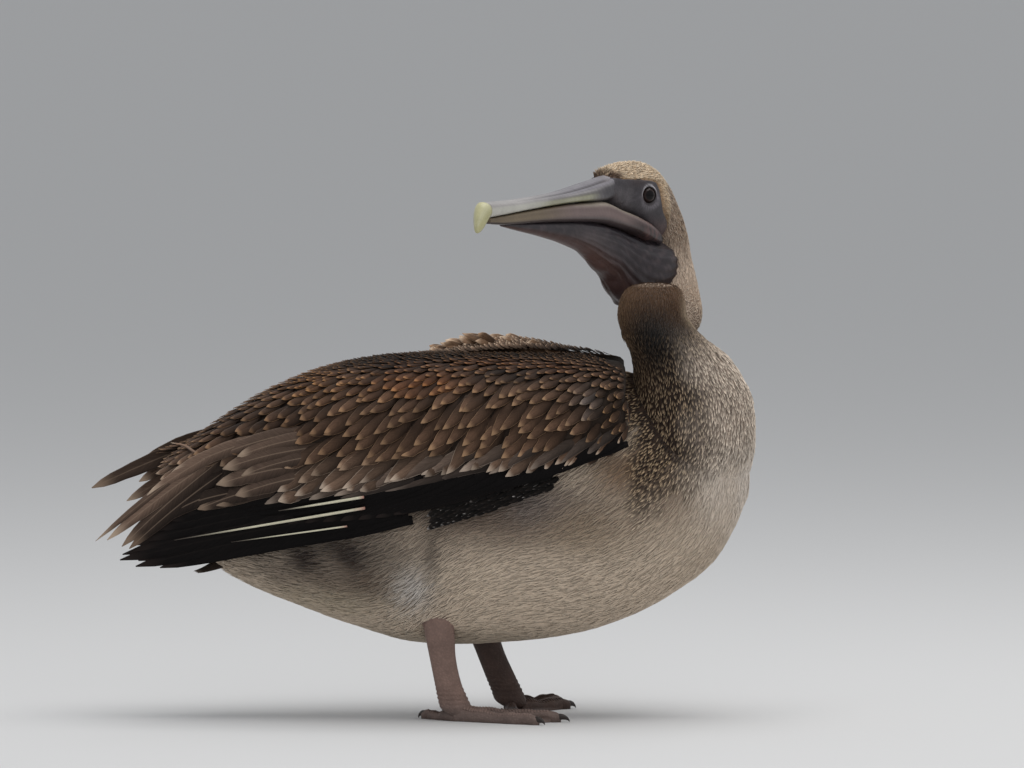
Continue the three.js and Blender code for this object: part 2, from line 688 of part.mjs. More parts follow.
// The sides differ by a sign on Y; the bird's right side is the negative one.
const sides = [
  { label: 'right', sign: -1, leg: rightLegStations, tertialLift: 0 },
  { label: 'left', sign: 1, leg: leftLegStations, tertialLift: leftTertialLift },
];
for (const { label, sign, leg, tertialLift } of sides) {
  const flightGap = flightForm(sign, gap);
  const wing = wingForm(sign).subtract(trunkGap).subtract(lowerNeckGap);
  add(`wing_${label}`, wing.subtract(flightGap), brownWing);
  add(`flight_feathers_${label}`, flightForm(sign, 0).subtract(trunkGap), blackQuill);
  add(`tertials_${label}`, tertialForm(sign, tertialLift).subtract(flightGap), brownWing);

  const ankle = new THREE.Vector3(leg[leg.length - 1].x, leg[leg.length - 1].y, 0);
  const headings = toes.map((toe) => toeHeading(toe, sign, footTurns[label]));
  const toeForms = toes.map((toe, i) => toeForm(ankle, toe, headings[i]));
  const webs = webbedPairs.map(([i, j]) => webForm(ankle, toes[i], toes[j], headings[i], headings[j]));
  const foot = [...toeForms, ...webs].reduce((whole, piece) => whole.add(piece));
  const clawGaps = toes.map((toe, i) => clawForm(ankle, toe, headings[i], gap));
  const legGap = legForm(leg, gap);
  add(`leg_${label}`, legForm(leg, 0).subtract(trunkGap), legSkin);
  const clearFoot = clawGaps.reduce((whole, claw) => whole.subtract(claw), foot.subtract(legGap));
  add(`foot_${label}`, clearFoot, legSkin);
  toes.forEach((toe, i) => {
    add(`claw_${toe.name}_${label}`, clawForm(ankle, toe, headings[i], 0), darkClaw);
  });
}
const tail = tailForm().subtract(trunkGap);
add('tail', tail, blackQuill);

group.position.copy(drawnMiddle).negate();
group.updateMatrixWorld(true);

export default group;
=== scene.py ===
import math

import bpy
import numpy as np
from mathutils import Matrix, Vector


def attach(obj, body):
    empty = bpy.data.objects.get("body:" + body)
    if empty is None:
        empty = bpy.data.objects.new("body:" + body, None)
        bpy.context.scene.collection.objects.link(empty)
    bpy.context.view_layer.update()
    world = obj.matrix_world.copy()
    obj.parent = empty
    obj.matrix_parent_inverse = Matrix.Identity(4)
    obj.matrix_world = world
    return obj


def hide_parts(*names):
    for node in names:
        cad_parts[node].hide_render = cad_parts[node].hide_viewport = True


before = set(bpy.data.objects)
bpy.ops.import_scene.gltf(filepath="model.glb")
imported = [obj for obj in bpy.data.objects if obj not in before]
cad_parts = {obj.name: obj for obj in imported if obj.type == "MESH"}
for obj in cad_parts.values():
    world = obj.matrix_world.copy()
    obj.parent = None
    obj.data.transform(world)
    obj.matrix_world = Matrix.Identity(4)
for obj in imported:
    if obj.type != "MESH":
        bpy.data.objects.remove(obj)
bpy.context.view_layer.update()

# %% [markdown]
# # A life-size model of a young brown pelican
# The bird stands on its webbed feet, side on, and looks back over its shoulder.
# A museum maker builds such a model from the inside out: a plain body, a skin over it, then the
# feathers, set one over the next from the tail forwards. This lesson goes the same way.
# The imported frame gives the true sizes.

scene = bpy.context.scene

# %% [markdown]
# ## Working in the maker's millimetres
# The plan of the bird is drawn in millimetres, with the floor at zero height, so every size
# in the lesson can be read with a ruler in hand. Blender wants metres around the frame's own middle.
# One small function does that change for every piece and another undoes it, and nothing else in the
# lesson has to think of it.

# %% Millimetres to metres
PLAN_MIDDLE = np.array([5.0, -52.5, 0.0])


def metres(points):
    return (np.asarray(points, float) - PLAN_MIDDLE) / 1000.0


def millimetres(points):
    return points * 1000.0 + PLAN_MIDDLE


def unit(vectors):
    return vectors / np.maximum(np.linalg.norm(vectors, axis=-1, keepdims=True), 1e-9)


def smooth(low, high, value):
    """A soft step from 0 to 1 as the value goes from low to high, which may also run downwards."""
    t = np.clip((value - low) / (high - low), 0.0, 1.0)
    return t * t * (3.0 - 2.0 * t)


def mix(first, second, share):
    share = np.asarray(share, float)[..., None]
    return first * (1.0 - share) + second * share


def hump(value, middle, reach):
    """A soft bump of 1 at the middle, nearly gone at twice the reach."""
    return np.exp(-(((value - middle) / reach) ** 2))


def colour(red, green, blue):
    """A colour from a paint card, 0 to 255, as the light values that Blender mixes."""
    card = np.array([red, green, blue]) / 255.0
    return np.where(card <= 0.04045, card / 12.92, ((card + 0.055) / 1.055) ** 2.4)


def washed(base, *washes):
    """Lays washes over a base colour. Each is a colour from the card, and its share at every point."""
    for card, share in washes:
        base = mix(base, colour(*card), share)
    return base


def along(stations, where):
    """Reads a table of stations smoothly, as a batten bends through its pins."""
    table = np.array([[place, *sizes] for place, sizes in sorted(stations.items())], float)
    place, sizes = table[:, 0], table[:, 1:]
    slope = np.empty_like(sizes)
    slope[1:-1] = (sizes[2:] - sizes[:-2]) / (place[2:] - place[:-2])[:, None]
    slope[0] = (sizes[1] - sizes[0]) / (place[1] - place[0])
    slope[-1] = (sizes[-1] - sizes[-2]) / (place[-1] - place[-2])
    where = np.asarray(where, float)
    i = np.clip(np.searchsorted(place, where) - 1, 0, len(place) - 2)
    step = (place[i + 1] - place[i])[..., None]
    t = np.clip((where - place[i])[..., None] / step, 0.0, 1.0)
    swing = (1 - t) ** 2 * (slope[i] * step * t) - t * t * (1 - t) * slope[i + 1] * step
    value = sizes[i] * (1 - t) ** 2 * (1 + 2 * t) + sizes[i + 1] * t * t * (3 - 2 * t) + swing
    return tuple(np.moveaxis(value, -1, 0))


print("half way between two stations:", along({0: (1,), 10: (3,)}, 5.0))

# %% [markdown]
# ## Camera, floor and light
# The bird was seen from far away through a long lens, a little above eye level with its back, so the
# near and far legs look the same size. A lens of 444 mm at 12 m gives that flat look.
# The studio is plain: a pale floor, an even grey sky for the shadows, and one broad soft lamp above.

# %% Camera
AIM = metres([83.6, 0.0, 316.9])
DISTANCE = 12.0
TILT_DEGREES = 3.0
camera_data = bpy.data.cameras.new("long lens")
camera_data.lens = 444.0
camera_data.sensor_width = 36.0
camera_data.clip_end = 200.0
camera = bpy.data.objects.new("long lens", camera_data)
tilt = math.radians(TILT_DEGREES)
camera.location = Vector(AIM) + DISTANCE * Vector((0.0, -math.cos(tilt), math.sin(tilt)))
camera.rotation_euler = (math.radians(90.0 - TILT_DEGREES), 0.0, 0.0)
scene.collection.objects.link(camera)
scene.camera = camera
print("camera at", tuple(round(c, 2) for c in camera.location))

# %% Floor and light
scene.view_settings.view_transform = "Standard"
floor_paint = bpy.data.materials.new("floor paint")
floor_paint.use_nodes = True
floor_shader = floor_paint.node_tree.nodes["Principled BSDF"]
floor_shader.inputs["Base Color"].default_value = (0.62, 0.62, 0.625, 1.0)
floor_shader.inputs["Roughness"].default_value = 0.95
floor_mesh = bpy.data.meshes.new("floor")
reach = 60.0
floor_mesh.from_pydata([(-reach, -reach, 0), (reach, -reach, 0), (reach, reach, 0), (-reach, reach, 0)],
                       [], [(0, 1, 2, 3)])
floor_mesh.materials.append(floor_paint)
floor = bpy.data.objects.new("floor", floor_mesh)
scene.collection.objects.link(floor)

sky = bpy.data.worlds.new("studio sky")
sky.use_nodes = True
sky_light = sky.node_tree.nodes["Background"]
sky_light.inputs["Color"].default_value = (0.96, 0.98, 1.0, 1.0)
sky_light.inputs["Strength"].default_value = 0.525
scene.world = sky


def lamp(name, place, size, power, warmth, mirrored=True):
    """A square soft lamp that looks at the bird's shoulder, with or without its mirror image in wet eyes."""
    light = bpy.data.lights.new(name, "AREA")
    light.size = size
    light.energy = power
    light.color = warmth
    stand = bpy.data.objects.new(name, light)
    stand.location = place
    stand.rotation_euler = (Vector((0.05, 0.0, 0.3)) - Vector(place)).to_track_quat("-Z", "Y").to_euler()
    stand.visible_glossy = mirrored
    scene.collection.objects.link(stand)


lamp("broad lamp above", (0.7, -0.2, 3.6), 3.2, 92.0, (1.0, 0.99, 0.97))
lamp("front fill", (0.6, -4.2, 1.6), 2.4, 26.0, (1.0, 0.99, 0.98), False)

# %% [markdown]
# ## From points to pieces
# Every piece below is worked out as plain arrays of points and faces, because a bird is mostly
# repetition: thousands of feathers that differ only in size, lie and colour. Arrays make them all at
# once. The same helper then hands any such array over to Blender, closed and with smooth shading.

# %% Arrays to Blender
def outward(points, faces):
    """Turns all faces round if the shell is inside out, which its volume tells."""
    volume = 0.0
    for f in faces:
        for k in range(1, f.shape[1] - 1):
            a, b, c = points[f[:, 0]], points[f[:, k]], points[f[:, k + 1]]
            volume += np.einsum("ij,ij->i", a, np.cross(b, c)).sum()
    return points, faces if volume > 0 else [f[:, ::-1] for f in faces]


def shell(rings, loop=False):
    """Closes a stack of rings, of shape (rings, points, 3), with a pole at each end, or as a loop."""
    n, m, _ = rings.shape
    points = rings.reshape(-1, 3)
    j = np.arange(m)
    k = (j + 1) % m
    i = np.arange(n if loop else n - 1)[:, None] * m
    nxt = (i + m) % (n * m)
    faces = [np.stack([i + j, i + k, nxt + k, nxt + j], -1).reshape(-1, 4)]
    if not loop:
        points = np.concatenate([points, rings[0].mean(0)[None], rings[-1].mean(0)[None]])
        faces.append(np.stack([k, j, np.full(m, n * m)], -1))
        faces.append(np.stack([(n - 1) * m + j, (n - 1) * m + k, np.full(m, n * m + 1)], -1))
    return outward(points, faces)


def slabs(top, under):
    """Closed sheets from two grids of shape (sheets, long, wide, 3), one above the other."""
    count, n, m, _ = top.shape
    points = np.concatenate([top.reshape(count, -1, 3), under.reshape(count, -1, 3)], 1)
    grid = np.arange(n * m).reshape(n, m)
    a, b, c, d = grid[:-1, :-1], grid[1:, :-1], grid[1:, 1:], grid[:-1, 1:]
    faces = [np.stack([a, d, c, b], -1).reshape(-1, 4)]
    faces.append(np.stack([a, b, c, d], -1).reshape(-1, 4) + n * m)
    for line, flip in ((grid[0], 1), (grid[-1], 0), (grid[:, 0], 0), (grid[:, -1], 1)):
        wall = np.stack([line[:-1], line[1:], line[1:] + n * m, line[:-1] + n * m], -1)
        faces.append(wall[:, ::-1] if flip else wall)
    one = np.concatenate(faces)
    every = (one[None] + (np.arange(count) * 2 * n * m)[:, None, None]).reshape(-1, 4)
    return outward(points.reshape(-1, 3), [every])


def normals_of(points, faces):
    """The direction that each point of a shell faces."""
    total = np.zeros_like(points)
    for f in faces:
        for k in range(1, f.shape[1] - 1):
            a, b, c = f[:, 0], f[:, k], f[:, k + 1]
            facing = np.cross(points[b] - points[a], points[c] - points[a])
            for corner in (a, b, c):
                np.add.at(total, corner, facing)
    return unit(total)


def mesh_of(name, points, faces):
    mesh = bpy.data.meshes.new(name)
    corners = np.concatenate([f.ravel() for f in faces]).astype(np.int32)
    sizes = np.concatenate([np.full(len(f), f.shape[1]) for f in faces])
    starts = (np.cumsum(sizes) - sizes).astype(np.int32)
    mesh.vertices.add(len(points))
    mesh.vertices.foreach_set("co", metres(points).astype(np.float32).ravel())
    mesh.loops.add(len(corners))
    mesh.loops.foreach_set("vertex_index", corners)
    mesh.polygons.add(len(sizes))
    mesh.polygons.foreach_set("loop_start", starts)
    mesh.polygons.foreach_set("use_smooth", np.ones(len(sizes), bool))
    mesh.update(calc_edges=True)
    return mesh


def add_marks(mesh, **marks):
    """Writes a mark on every point: under the name vane its place on its feather, else a colour."""
    for name, values in marks.items():
        values = np.asarray(values, np.float32)
        if name == "vane":
            layer = mesh.attributes.new(name, "FLOAT_VECTOR", "POINT")
            layer.data.foreach_set("vector", values.ravel())
        else:
            layer = mesh.attributes.new(name, "FLOAT_COLOR", "POINT")
            full = np.concatenate([values, np.ones((len(values), 4 - values.shape[1]), np.float32)], 1)
            layer.data.foreach_set("color", full.ravel())


def read_all(items, what, width=1, kind=np.int32):
    """One property of all the points, corners or faces of a mesh."""
    values = np.empty(len(items) * width, kind)
    items.foreach_get(what, values)
    return values.reshape(-1, width) if width > 1 else values


def add_bake_map(mesh, places):
    """A map for baking, given as one place for every point."""
    corner = read_all(mesh.loops, "vertex_index")
    layer = mesh.uv_layers.new(name="OFBake")
    layer.data.foreach_set("uv", np.asarray(places, np.float32)[corner].ravel())


def show(name, mesh, material, slot, *nodes):
    """Puts a finished piece in the scene, on the body, with its finish and the nodes it stands for."""
    piece = bpy.data.objects.new(name.replace(" ", "_"), mesh)
    if material is not None:
        mesh.materials.append(material)
    scene.collection.objects.link(piece)
    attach(piece, "root")
    if nodes:
        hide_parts(*nodes)
    mesh.calc_loop_triangles()
    print(f"{name}: {len(mesh.loop_triangles)} triangles")
    return piece


def show_painted(name, shape, tint, material, slot, *nodes):
    """A piece of bare skin, horn or eye, with one colour for every point."""
    mesh = mesh_of(name, *shape)
    add_marks(mesh, tint=np.broadcast_to(tint, shape[0].shape))
    return show(name, mesh, material, slot, *nodes)


# %% [markdown]
# ## The trunk and the folded neck
# A pelican's trunk is a keel-bellied barrel. It is drawn as stations along its length, each with a top,
# a bottom, a half width and the height of its widest line, and a ring is bent through the four of them.
# The neck leaves the shoulders as a thick column, folds forward into a knob and then turns back on
# itself as a thin tube up to the head. A batten bent through a few stations gives all of these.

# %% Trunk and neck
def egg(angle, half, top, bottom, widest, boxy):
    """A ring that is egg-shaped, or squarer where boxy is small. Angle 0 is its top."""
    sine, cosine = np.sin(angle), np.cos(angle)
    side = half * np.sign(sine) * np.abs(sine) ** boxy
    height = np.where(cosine > 0, top - widest, widest - bottom)
    return side, widest + height * np.sign(cosine) * np.abs(cosine) ** boxy


def turn(count):
    return np.linspace(0, 2 * np.pi, count, endpoint=False)[None, :]


def spread(first, last, count):
    """Places along a length, closer together towards both ends."""
    t = np.linspace(0, 1, count)
    t = 0.75 * t + 0.25 * (0.5 - 0.5 * np.cos(np.pi * t))
    return first + (last - first) * t


# place along the bird: top, bottom, half width, height of the widest line
TRUNK = {
    -208: (196, 150, 24, 176), -170: (240, 127, 46, 180), -122: (282, 106, 66, 188),
    -66: (313, 85, 83, 196), -4: (331, 69, 93, 202), 74: (337, 69, 98, 208), 150: (336, 79, 97, 214),
    205: (328, 98, 90, 220), 250: (312, 124, 76, 226), 280: (296, 150, 59, 230),
    300: (278, 184, 38, 234), 312: (254, 216, 13, 236),
}
# height: rear, front, near side, far side
LOWER_NECK = {
    196: (176, 290, -50, 50), 232: (186, 311, -66, 62), 266: (192, 316, -82, 64),
    304: (195, 313, -90, 54), 328: (197, 302, -90, 38), 348: (194, 287, -88, 20),
    366: (186, 265, -85, 0), 384: (181.5, 252, -82, -14), 400: (184, 249, -79, -18),
    410: (190, 245, -72, -24), 415: (198, 238, -63, -33), 417.5: (209, 227, -53, -45),
}
# station: along, across, up, radius
UPPER_NECK = {
    0: (219, -44, 377, 27), 1: (228, -12, 380, 27), 2: (240.5, 22, 382, 25), 3: (240.5, 48, 404, 22),
    4: (235.5, 60, 431, 20.8), 5: (231, 60, 455, 21), 6: (222, 51, 477, 22.5), 7: (213, 38, 493, 23.5),
    8: (205, 24, 499, 22),
}


def trunk_rings():
    x = spread(-208, 312, 110)[:, None]
    top, bottom, half, widest = along(TRUNK, x[:, 0])
    side, up = egg(turn(96), half[:, None], top[:, None], bottom[:, None], widest[:, None], 0.92)
    return np.stack([x + 0 * side, side, up], -1)


def lower_neck_rings():
    z = spread(196, 417.5, 96)[:, None]
    left, right, near, far = (v[:, None] for v in along(LOWER_NECK, z[:, 0]))
    a = turn(88)
    x = (left + right) / 2 + (right - left) / 2 * np.cos(a)
    y = (near + far) / 2 + (far - near) / 2 * np.sin(a)
    return np.stack([x, y, z + 0 * x], -1)


def tube_rings(line, radius, count):
    """Round rings along a bent line that never runs in the direction called aside."""
    aside = np.array([0.9, -0.43, 0.05])
    ahead = unit(np.gradient(line, axis=0))
    across = unit(np.cross(ahead, aside))
    up = np.cross(across, ahead)
    a = turn(count)[..., None]
    radius = np.reshape(radius, (-1, 1, 1))
    return line[:, None] + across[:, None] * np.cos(a) * radius + up[:, None] * np.sin(a) * radius


def sunk(rings, depth, loop=False):
    """The same shell, set in by the depth that the feathers take up."""
    points, faces = shell(rings, loop)
    return points - normals_of(points, faces) * np.reshape(depth, (-1, 1)), faces


def upper_neck_line():
    x, y, z, r = along(UPPER_NECK, np.linspace(0, 8, 100))
    return np.stack([x, y, z], -1), r


FEATHER_DEPTH = {"trunk": 3.4, "lower neck": 2.8, "upper neck": 1.8, "head": 1.5}
trunk_shape = sunk(trunk_rings(), FEATHER_DEPTH["trunk"])
lower_neck_shape = sunk(lower_neck_rings(), FEATHER_DEPTH["lower neck"])
neck_line, neck_width = upper_neck_line()
upper_neck_shape = shell(tube_rings(neck_line, neck_width - FEATHER_DEPTH["upper neck"], 72))
print("points:", [len(shape[0]) for shape in (trunk_shape, lower_neck_shape, upper_neck_shape)])

# %% [markdown]
# ## Head and eye sockets
# The head is turned over the shoulder, so it is drawn straight in its own directions, forward along
# the bill, out to its left and up, and then swung into place. The skull is wide behind the eyes and narrow
# at the bill. In front of the eye lies a shallow hollow of bare skin, the lore, and over it a low brow.
# The lids are the part that makes a face look alive: a ball of skin wraps the eye, an opening
# is cut along the line of sight, and a soft rim, thicker above than below, runs round the cut.

# %% Head
HEAD_PLACE = np.array([194.0, 10.0, 497.0])
yaw, dip = math.radians(28.0), math.radians(2.8)
FORWARD = np.array([-math.sin(yaw) * math.cos(dip), -math.cos(yaw) * math.cos(dip), -math.sin(dip)])
LEFT = unit(np.cross([0.0, 0.0, 1.0], FORWARD))
UPWARD = np.cross(FORWARD, LEFT)


def from_head(forward, left, up):
    f, l, u = np.broadcast_arrays(forward, left, up)
    return HEAD_PLACE + f[..., None] * FORWARD + l[..., None] * LEFT + u[..., None] * UPWARD


def to_head(points):
    away = points - HEAD_PLACE
    return away @ FORWARD, away @ LEFT, away @ UPWARD


# place ahead of the head's middle: top, bottom, half width, height of the widest line
HEAD = {
    -55: (0, -22, 9, -11), -48: (12, -38, 20, -12), -34: (24, -50, 27, -12), -16: (30, -42, 28, -10),
    4: (31.5, -27, 24.5, -4), 24: (31.5, -17, 20, 2), 40: (30, -9, 16.8, 6), 48: (27.5, -3, 15.8, 8),
    53: (20, 1, 14.8, 9), 58: (15, 4, 13.4, 9.5), 62: (12, 7, 8, 10),
}
# where bare skin ends and feathers begin, as the height on the face and how far forward the edge lies
FACE_EDGE = {-62: (-50,), -50: (-46,), -38: (-42,), -27: (-29,), -16: (-17.5,), -3: (-14.5,), 8: (-12.5,),
             13: (-5,), 15.5: (12,), 17.5: (36,), 19.5: (48,), 22: (62,)}


def bareness(points):
    """How many millimetres a point of the head lies inside the bare face. Feathers are below nothing."""
    f, _, u = to_head(points)
    return f - along(FACE_EDGE, u)[0]


def head_shell(forward, half, top, bottom, widest, around, boxy):
    """A shell of egg-shaped rings in the head's own directions, and the way each of its points faces."""
    side, up = egg(turn(around), *(size[:, None] for size in (half, top, bottom, widest)), boxy)
    points, faces = shell(from_head(forward[:, None] + 0 * side, side, up))
    return points, faces, normals_of(points, faces)


def head_shape():
    f = spread(-55, 62, 156)
    top, bottom, half, widest = along(HEAD, f)
    points, faces, facing = head_shell(f, half, top, bottom, widest, 132, 0.95)
    f, l, u = to_head(points)
    outside = smooth(6, 14, np.abs(l))
    brow = 1.3 * hump(f, 3, 17) * hump(u, 12.5, 3.6) * outside
    lore = -1.9 * hump(f, 27, 13) * hump(u, 3, 6.5) * outside
    cheek = 1.1 * hump(f, -4, 13) * hump(u, -13, 5) * outside
    fold = -0.7 * hump(u + 0.33 * (f - 44) + 9, 0, 1.6) * smooth(-10, 0, f) * outside
    creases = 0.16 * np.sin(f * 1.9 + u * 0.6) * hump(u, -9, 8) * hump(f, 6, 16) * outside
    feathers = FEATHER_DEPTH["head"] * smooth(1.5, -2.5, bareness(points))
    rise = brow + lore + cheek + fold + creases - feathers
    return points + facing * rise[:, None], faces


EYE_SIZE = 10.5
EYE_HOLLOW = 10.65
LID_SIZE = 11.5
EYE_OUT = 16.0
EYE_UP = -0.6
EYE_AHEAD = -2.5
SIGHT = math.radians(31.0)


def eye_frame(side):
    """The middle of an eye, its line of sight, and the ways along and across its lids."""
    middle = from_head(EYE_AHEAD, side * EYE_OUT, EYE_UP)
    sight = unit(math.sin(SIGHT) * FORWARD + side * math.cos(SIGHT) * LEFT + 0.04 * UPWARD)
    lid_way = unit(FORWARD - sight * (FORWARD @ sight))
    return middle, sight, lid_way, np.cross(lid_way, sight) * side


def ball(middle, size, count):
    a = np.linspace(0.02, np.pi - 0.02, count)[:, None]
    b = turn(2 * count)
    ring = np.stack([np.sin(a) * np.cos(b), np.sin(a) * np.sin(b), np.cos(a) + 0 * b], -1)
    return shell(middle + size * ring)


def lid_opening(side):
    """The tool that cuts the opening, a short flaring plug along the line of sight."""
    middle, sight, lid_way, lid_up = eye_frame(side)
    a = turn(64)[..., None]
    out = np.array([1.0, 5.0, 9.0, 17.0])[:, None, None]
    wide = np.array([7.6, 8.2, 8.6, 9.8])[:, None, None]
    return shell(middle + sight * out + (lid_way * np.cos(a) * 1.04 + lid_up * np.sin(a) * 0.93) * wide)


def lid_rim(side):
    """The soft edge of both lids, a ring that is thicker above the eye."""
    middle, sight, lid_way, lid_up = eye_frame(side)
    a = np.linspace(0, 2 * np.pi, 96, endpoint=False)[:, None, None]
    thick = 0.75 + 0.55 * smooth(-0.1, 0.7, np.sin(a))
    way = lid_way * np.cos(a) * 1.04 + lid_up * np.sin(a) * 0.95
    b = turn(16)[..., None]
    line = middle + sight * 7.2 + way * 8.45
    return shell(line + unit(way) * np.cos(b) * thick + sight * np.sin(b) * thick, loop=True)


head_solid = head_shape()
print("head points", len(head_solid[0]), "eye middle", eye_frame(1)[0].round(1))

# %% [markdown]
# ## Pouch
# The throat pouch of a pelican is a bag of thin skin hung between the two bones of the lower jaw.
# Empty and at rest it gathers in long fine wrinkles that run from the chin back to the throat, with a few
# slack folds across them at the lowest point. The bag is a row of egg-shaped rings in the head's
# own directions, and the wrinkles are waves pressed into it along its length.

# %% Pouch
# place ahead of the head's middle: top, bottom, half width, as for both halves of the bill below
POUCH = {
    -64: (-62, -88, 14), -56: (-55, -94, 22), -44: (-49, -98, 28.5), -28: (-45, -103, 30),
    -6: (-41, -107, 27), 14: (-36, -104, 22.5), 30: (-31, -92, 19), 46: (-27, -77, 17), 66: (-22, -66, 15),
    94: (-17.5, -49, 13.4), 132: (-14, -36.5, 11.6), 180: (-11, -25, 9.6), 226: (-8, -15.5, 7),
    254: (-6.5, -9.6, 4),
}


def pouch_shape():
    f = spread(-64, 254, 170)
    top, bottom, half = along(POUCH, f)
    widest = bottom + (top - bottom) * 0.55
    points, faces, facing = head_shell(f, half - 0.4, top, bottom, widest, 124, 0.85)
    f, l, u = to_head(points)
    top, bottom, half = along(POUCH, f)
    drop = np.clip((u - bottom) / np.maximum(top - bottom, 1), 0, 1)
    slack = smooth(170, 20, f)
    long_folds = np.sin(drop * 44 + 2.2 * np.sin(f / 21 + 3 * np.sign(l)) + l * 0.05)
    fine_folds = np.sin(drop * 97 + 3.1 * np.sin(f / 13) + np.sin(f / 4.1))
    cross_folds = np.sin(f / 3.3 + 2.6 * drop + np.sin(f / 9.0) * 1.3) * hump(drop, 0.05, 0.30)
    rise = (0.50 * long_folds + 0.24 * fine_folds + 0.9 * cross_folds * hump(f, 8, 30)) * slack
    scallop = 1.5 * np.sin(f / 4.6 + 0.5) * hump(drop, 0, 0.16) * hump(f, 12, 24)
    return points + facing * (rise + scallop)[:, None], faces


pouch_solid = pouch_shape()
print("pouch points", len(pouch_solid[0]))

# %% [markdown]
# ## Wing bodies
# A folded wing lies along the back like a shell: it leaves the spine, rounds the shoulder and hangs
# down the side as a skirt. One function gives the place on that shell for any distance along the bird and any
# share of the way round, from the spine to the hanging edge. The arm under the feathers is a sheet of
# flesh a little inside that surface, and every wing feather is later laid on the same function.

# %% Wing surface
SHOULDER, SKIRT = 0.55, 0.45  # how much of the way round is shoulder, and how much hangs below it
# place along the bird: top, inner edge, outer edge, height of the widest line, hanging edge
WING = {
    198: (332, 70, 95, 298, 268), 191: (343, 48, 104, 294, 256), 174: (347, 30, 110, 288, 249),
    140: (348, 16, 114, 280, 243), 100: (348, 9, 115, 274, 226), 50: (348, 6, 114, 266, 212),
    0: (347, 5, 111, 260, 206), -50: (343, 5, 103, 252, 202), -100: (332, 5, 91, 246, 199),
    -150: (311, 5, 76, 238, 204), -190: (287, 5, 64, 234, 212), -218: (267, 6, 55, 234, 219),
    -250: (243, 8, 49, 213, 192), -282: (214, 14, 44, 192, 176), -306: (187, 26, 39, 179, 171),
}


def on_wing(side, x, t):
    """A point of the wing's outer surface. Side is -1 for the right wing and 1 for the left."""
    x, t = np.broadcast_arrays(np.asarray(x, float), np.asarray(t, float))
    top, inner, out, widest, low = along(WING, x)
    shoulder = np.clip(t / SHOULDER, 0, 1)
    skirt = np.maximum((t - SHOULDER) / SKIRT, 0)
    arc = shoulder * np.pi / 2
    y = inner + (out - inner) * np.abs(np.sin(arc)) ** 0.9 - skirt**2 * out * 0.05
    z = widest + (top - widest) * np.maximum(np.cos(arc), 0) ** 0.8 - skirt * (widest - low)
    if side > 0:
        z = z + 15 * hump(x, 83, 52) * hump(y, 42, 30)
        z = z + 34 * smooth(-215, -306, x)
    return np.stack([x, side * y, z], -1)


def wing_facing(side, x, t):
    """The way that the wing surface faces at a place."""
    t = np.clip(t, 0.02, 0.98)
    along_x = on_wing(side, x + 2.0, t) - on_wing(side, x - 2.0, t)
    around = on_wing(side, x, t + 0.01) - on_wing(side, x, t - 0.01)
    return unit(np.cross(around, along_x)) * -side


def wing_body(side):
    x = spread(194, -212, 60)[:, None]
    t = np.linspace(0.03, 0.86, 34)[None, :]
    surface, facing = on_wing(side, x, t), wing_facing(side, x, t)
    rim = np.minimum(smooth(0.0, 0.14, t), smooth(0.92, 0.76, t))
    rim = rim * smooth(-222, -190, x) * smooth(200, 176, x)
    top = surface - facing * 4.6
    under = surface - facing * (5.2 + 8.5 * rim)[..., None]
    return slabs(top[None], under[None])


check_out = wing_facing(-1, np.array([50.0]), np.array([0.6]))
print("right wing faces", check_out.round(2))

# %% [markdown]
# ## Legs, toes and webs
# The legs are short and stout, with the shank almost upright and a webbed foot flat on the ground. All
# four toes of a pelican are joined by web, even the hind one. Each toe is a tube that swells at
# its joints and is flat where it bears on the floor, and each web is a thin skin that sags between two
# toes and is drawn back at its front edge. The far foot is turned out, which hides it behind the near one.

# %% Legs and feet
# height: place along, place across, half depth, half width
LEGS = {
    -1: {124: (10, -50, 17, 13), 84: (15, -51, 14.5, 10), 60: (18, -52, 12.6, 8.4),
         36: (23, -52.5, 12.8, 8), 20: (28, -53, 14.6, 9), 12: (31, -53, 15, 9.6), 7: (34, -53, 12, 8),
         4: (36, -53, 7, 5)},
    1: {124: (44, 50, 18, 13), 84: (54, 51, 15.5, 10), 60: (62, 53, 13.8, 8.4),
        36: (72, 54.5, 14.4, 8), 20: (79, 56, 15.0, 9), 12: (82, 56, 15, 9.6), 7: (85, 56, 12, 8),
        4: (87, 56, 7, 5)},
}
ANKLE = {-1: np.array([31.0, -53.0, 0.0]), 1: np.array([82.0, 56.0, 0.0])}
FOOT_TURN = {-1: -9.0, 1: 62.0}
# degrees turned from the middle toe, length, half thickness
TOES = {"inner": (27, 70, 6.4), "middle": (0, 100, 7.0), "outer": (-24, 93, 6.4), "hind": (146, 45, 5.4)}
WEBS = (("inner", "middle"), ("middle", "outer"), ("inner", "hind"))


def toe_way(side, toe):
    angle = math.radians(FOOT_TURN[side] - side * TOES[toe][0])
    return np.array([math.cos(angle), math.sin(angle), 0.0])


def toe_half(toe, t):
    """Half a toe's thickness, with its knuckles, at each share of its length."""
    return (TOES[toe][2] - 2.2 * t) * (1 + 0.2 * np.cos(t * 6 * np.pi) * t)


def toe_ridge(toe, t, rise=1.0):
    """How high a toe stands there, from its middle line at no rise to its top at full rise."""
    return toe_half(toe, t) * (0.78 + rise * (1 + 0.75 * (1 - t) ** 4)) + 3.6 * hump(t, 0.84, 0.09)


def leg_shape(side):
    z = spread(124, 4.0, 96)
    x, y, deep, wide = along(LEGS[side], z)
    a = turn(44)
    ring_x = x[:, None] + (deep[:, None] - 0.2) * np.cos(a)
    ring_y = y[:, None] + (wide[:, None] - 0.2) * np.sin(a)
    points, faces = shell(np.stack([ring_x, ring_y, z[:, None] + 0 * a], -1))
    facing = normals_of(points, faces)
    wrinkle = 0.5 * hump(points[:, 2], 24, 9) * np.sin(points[:, 2] * 1.5)
    return points + facing * wrinkle[:, None], faces


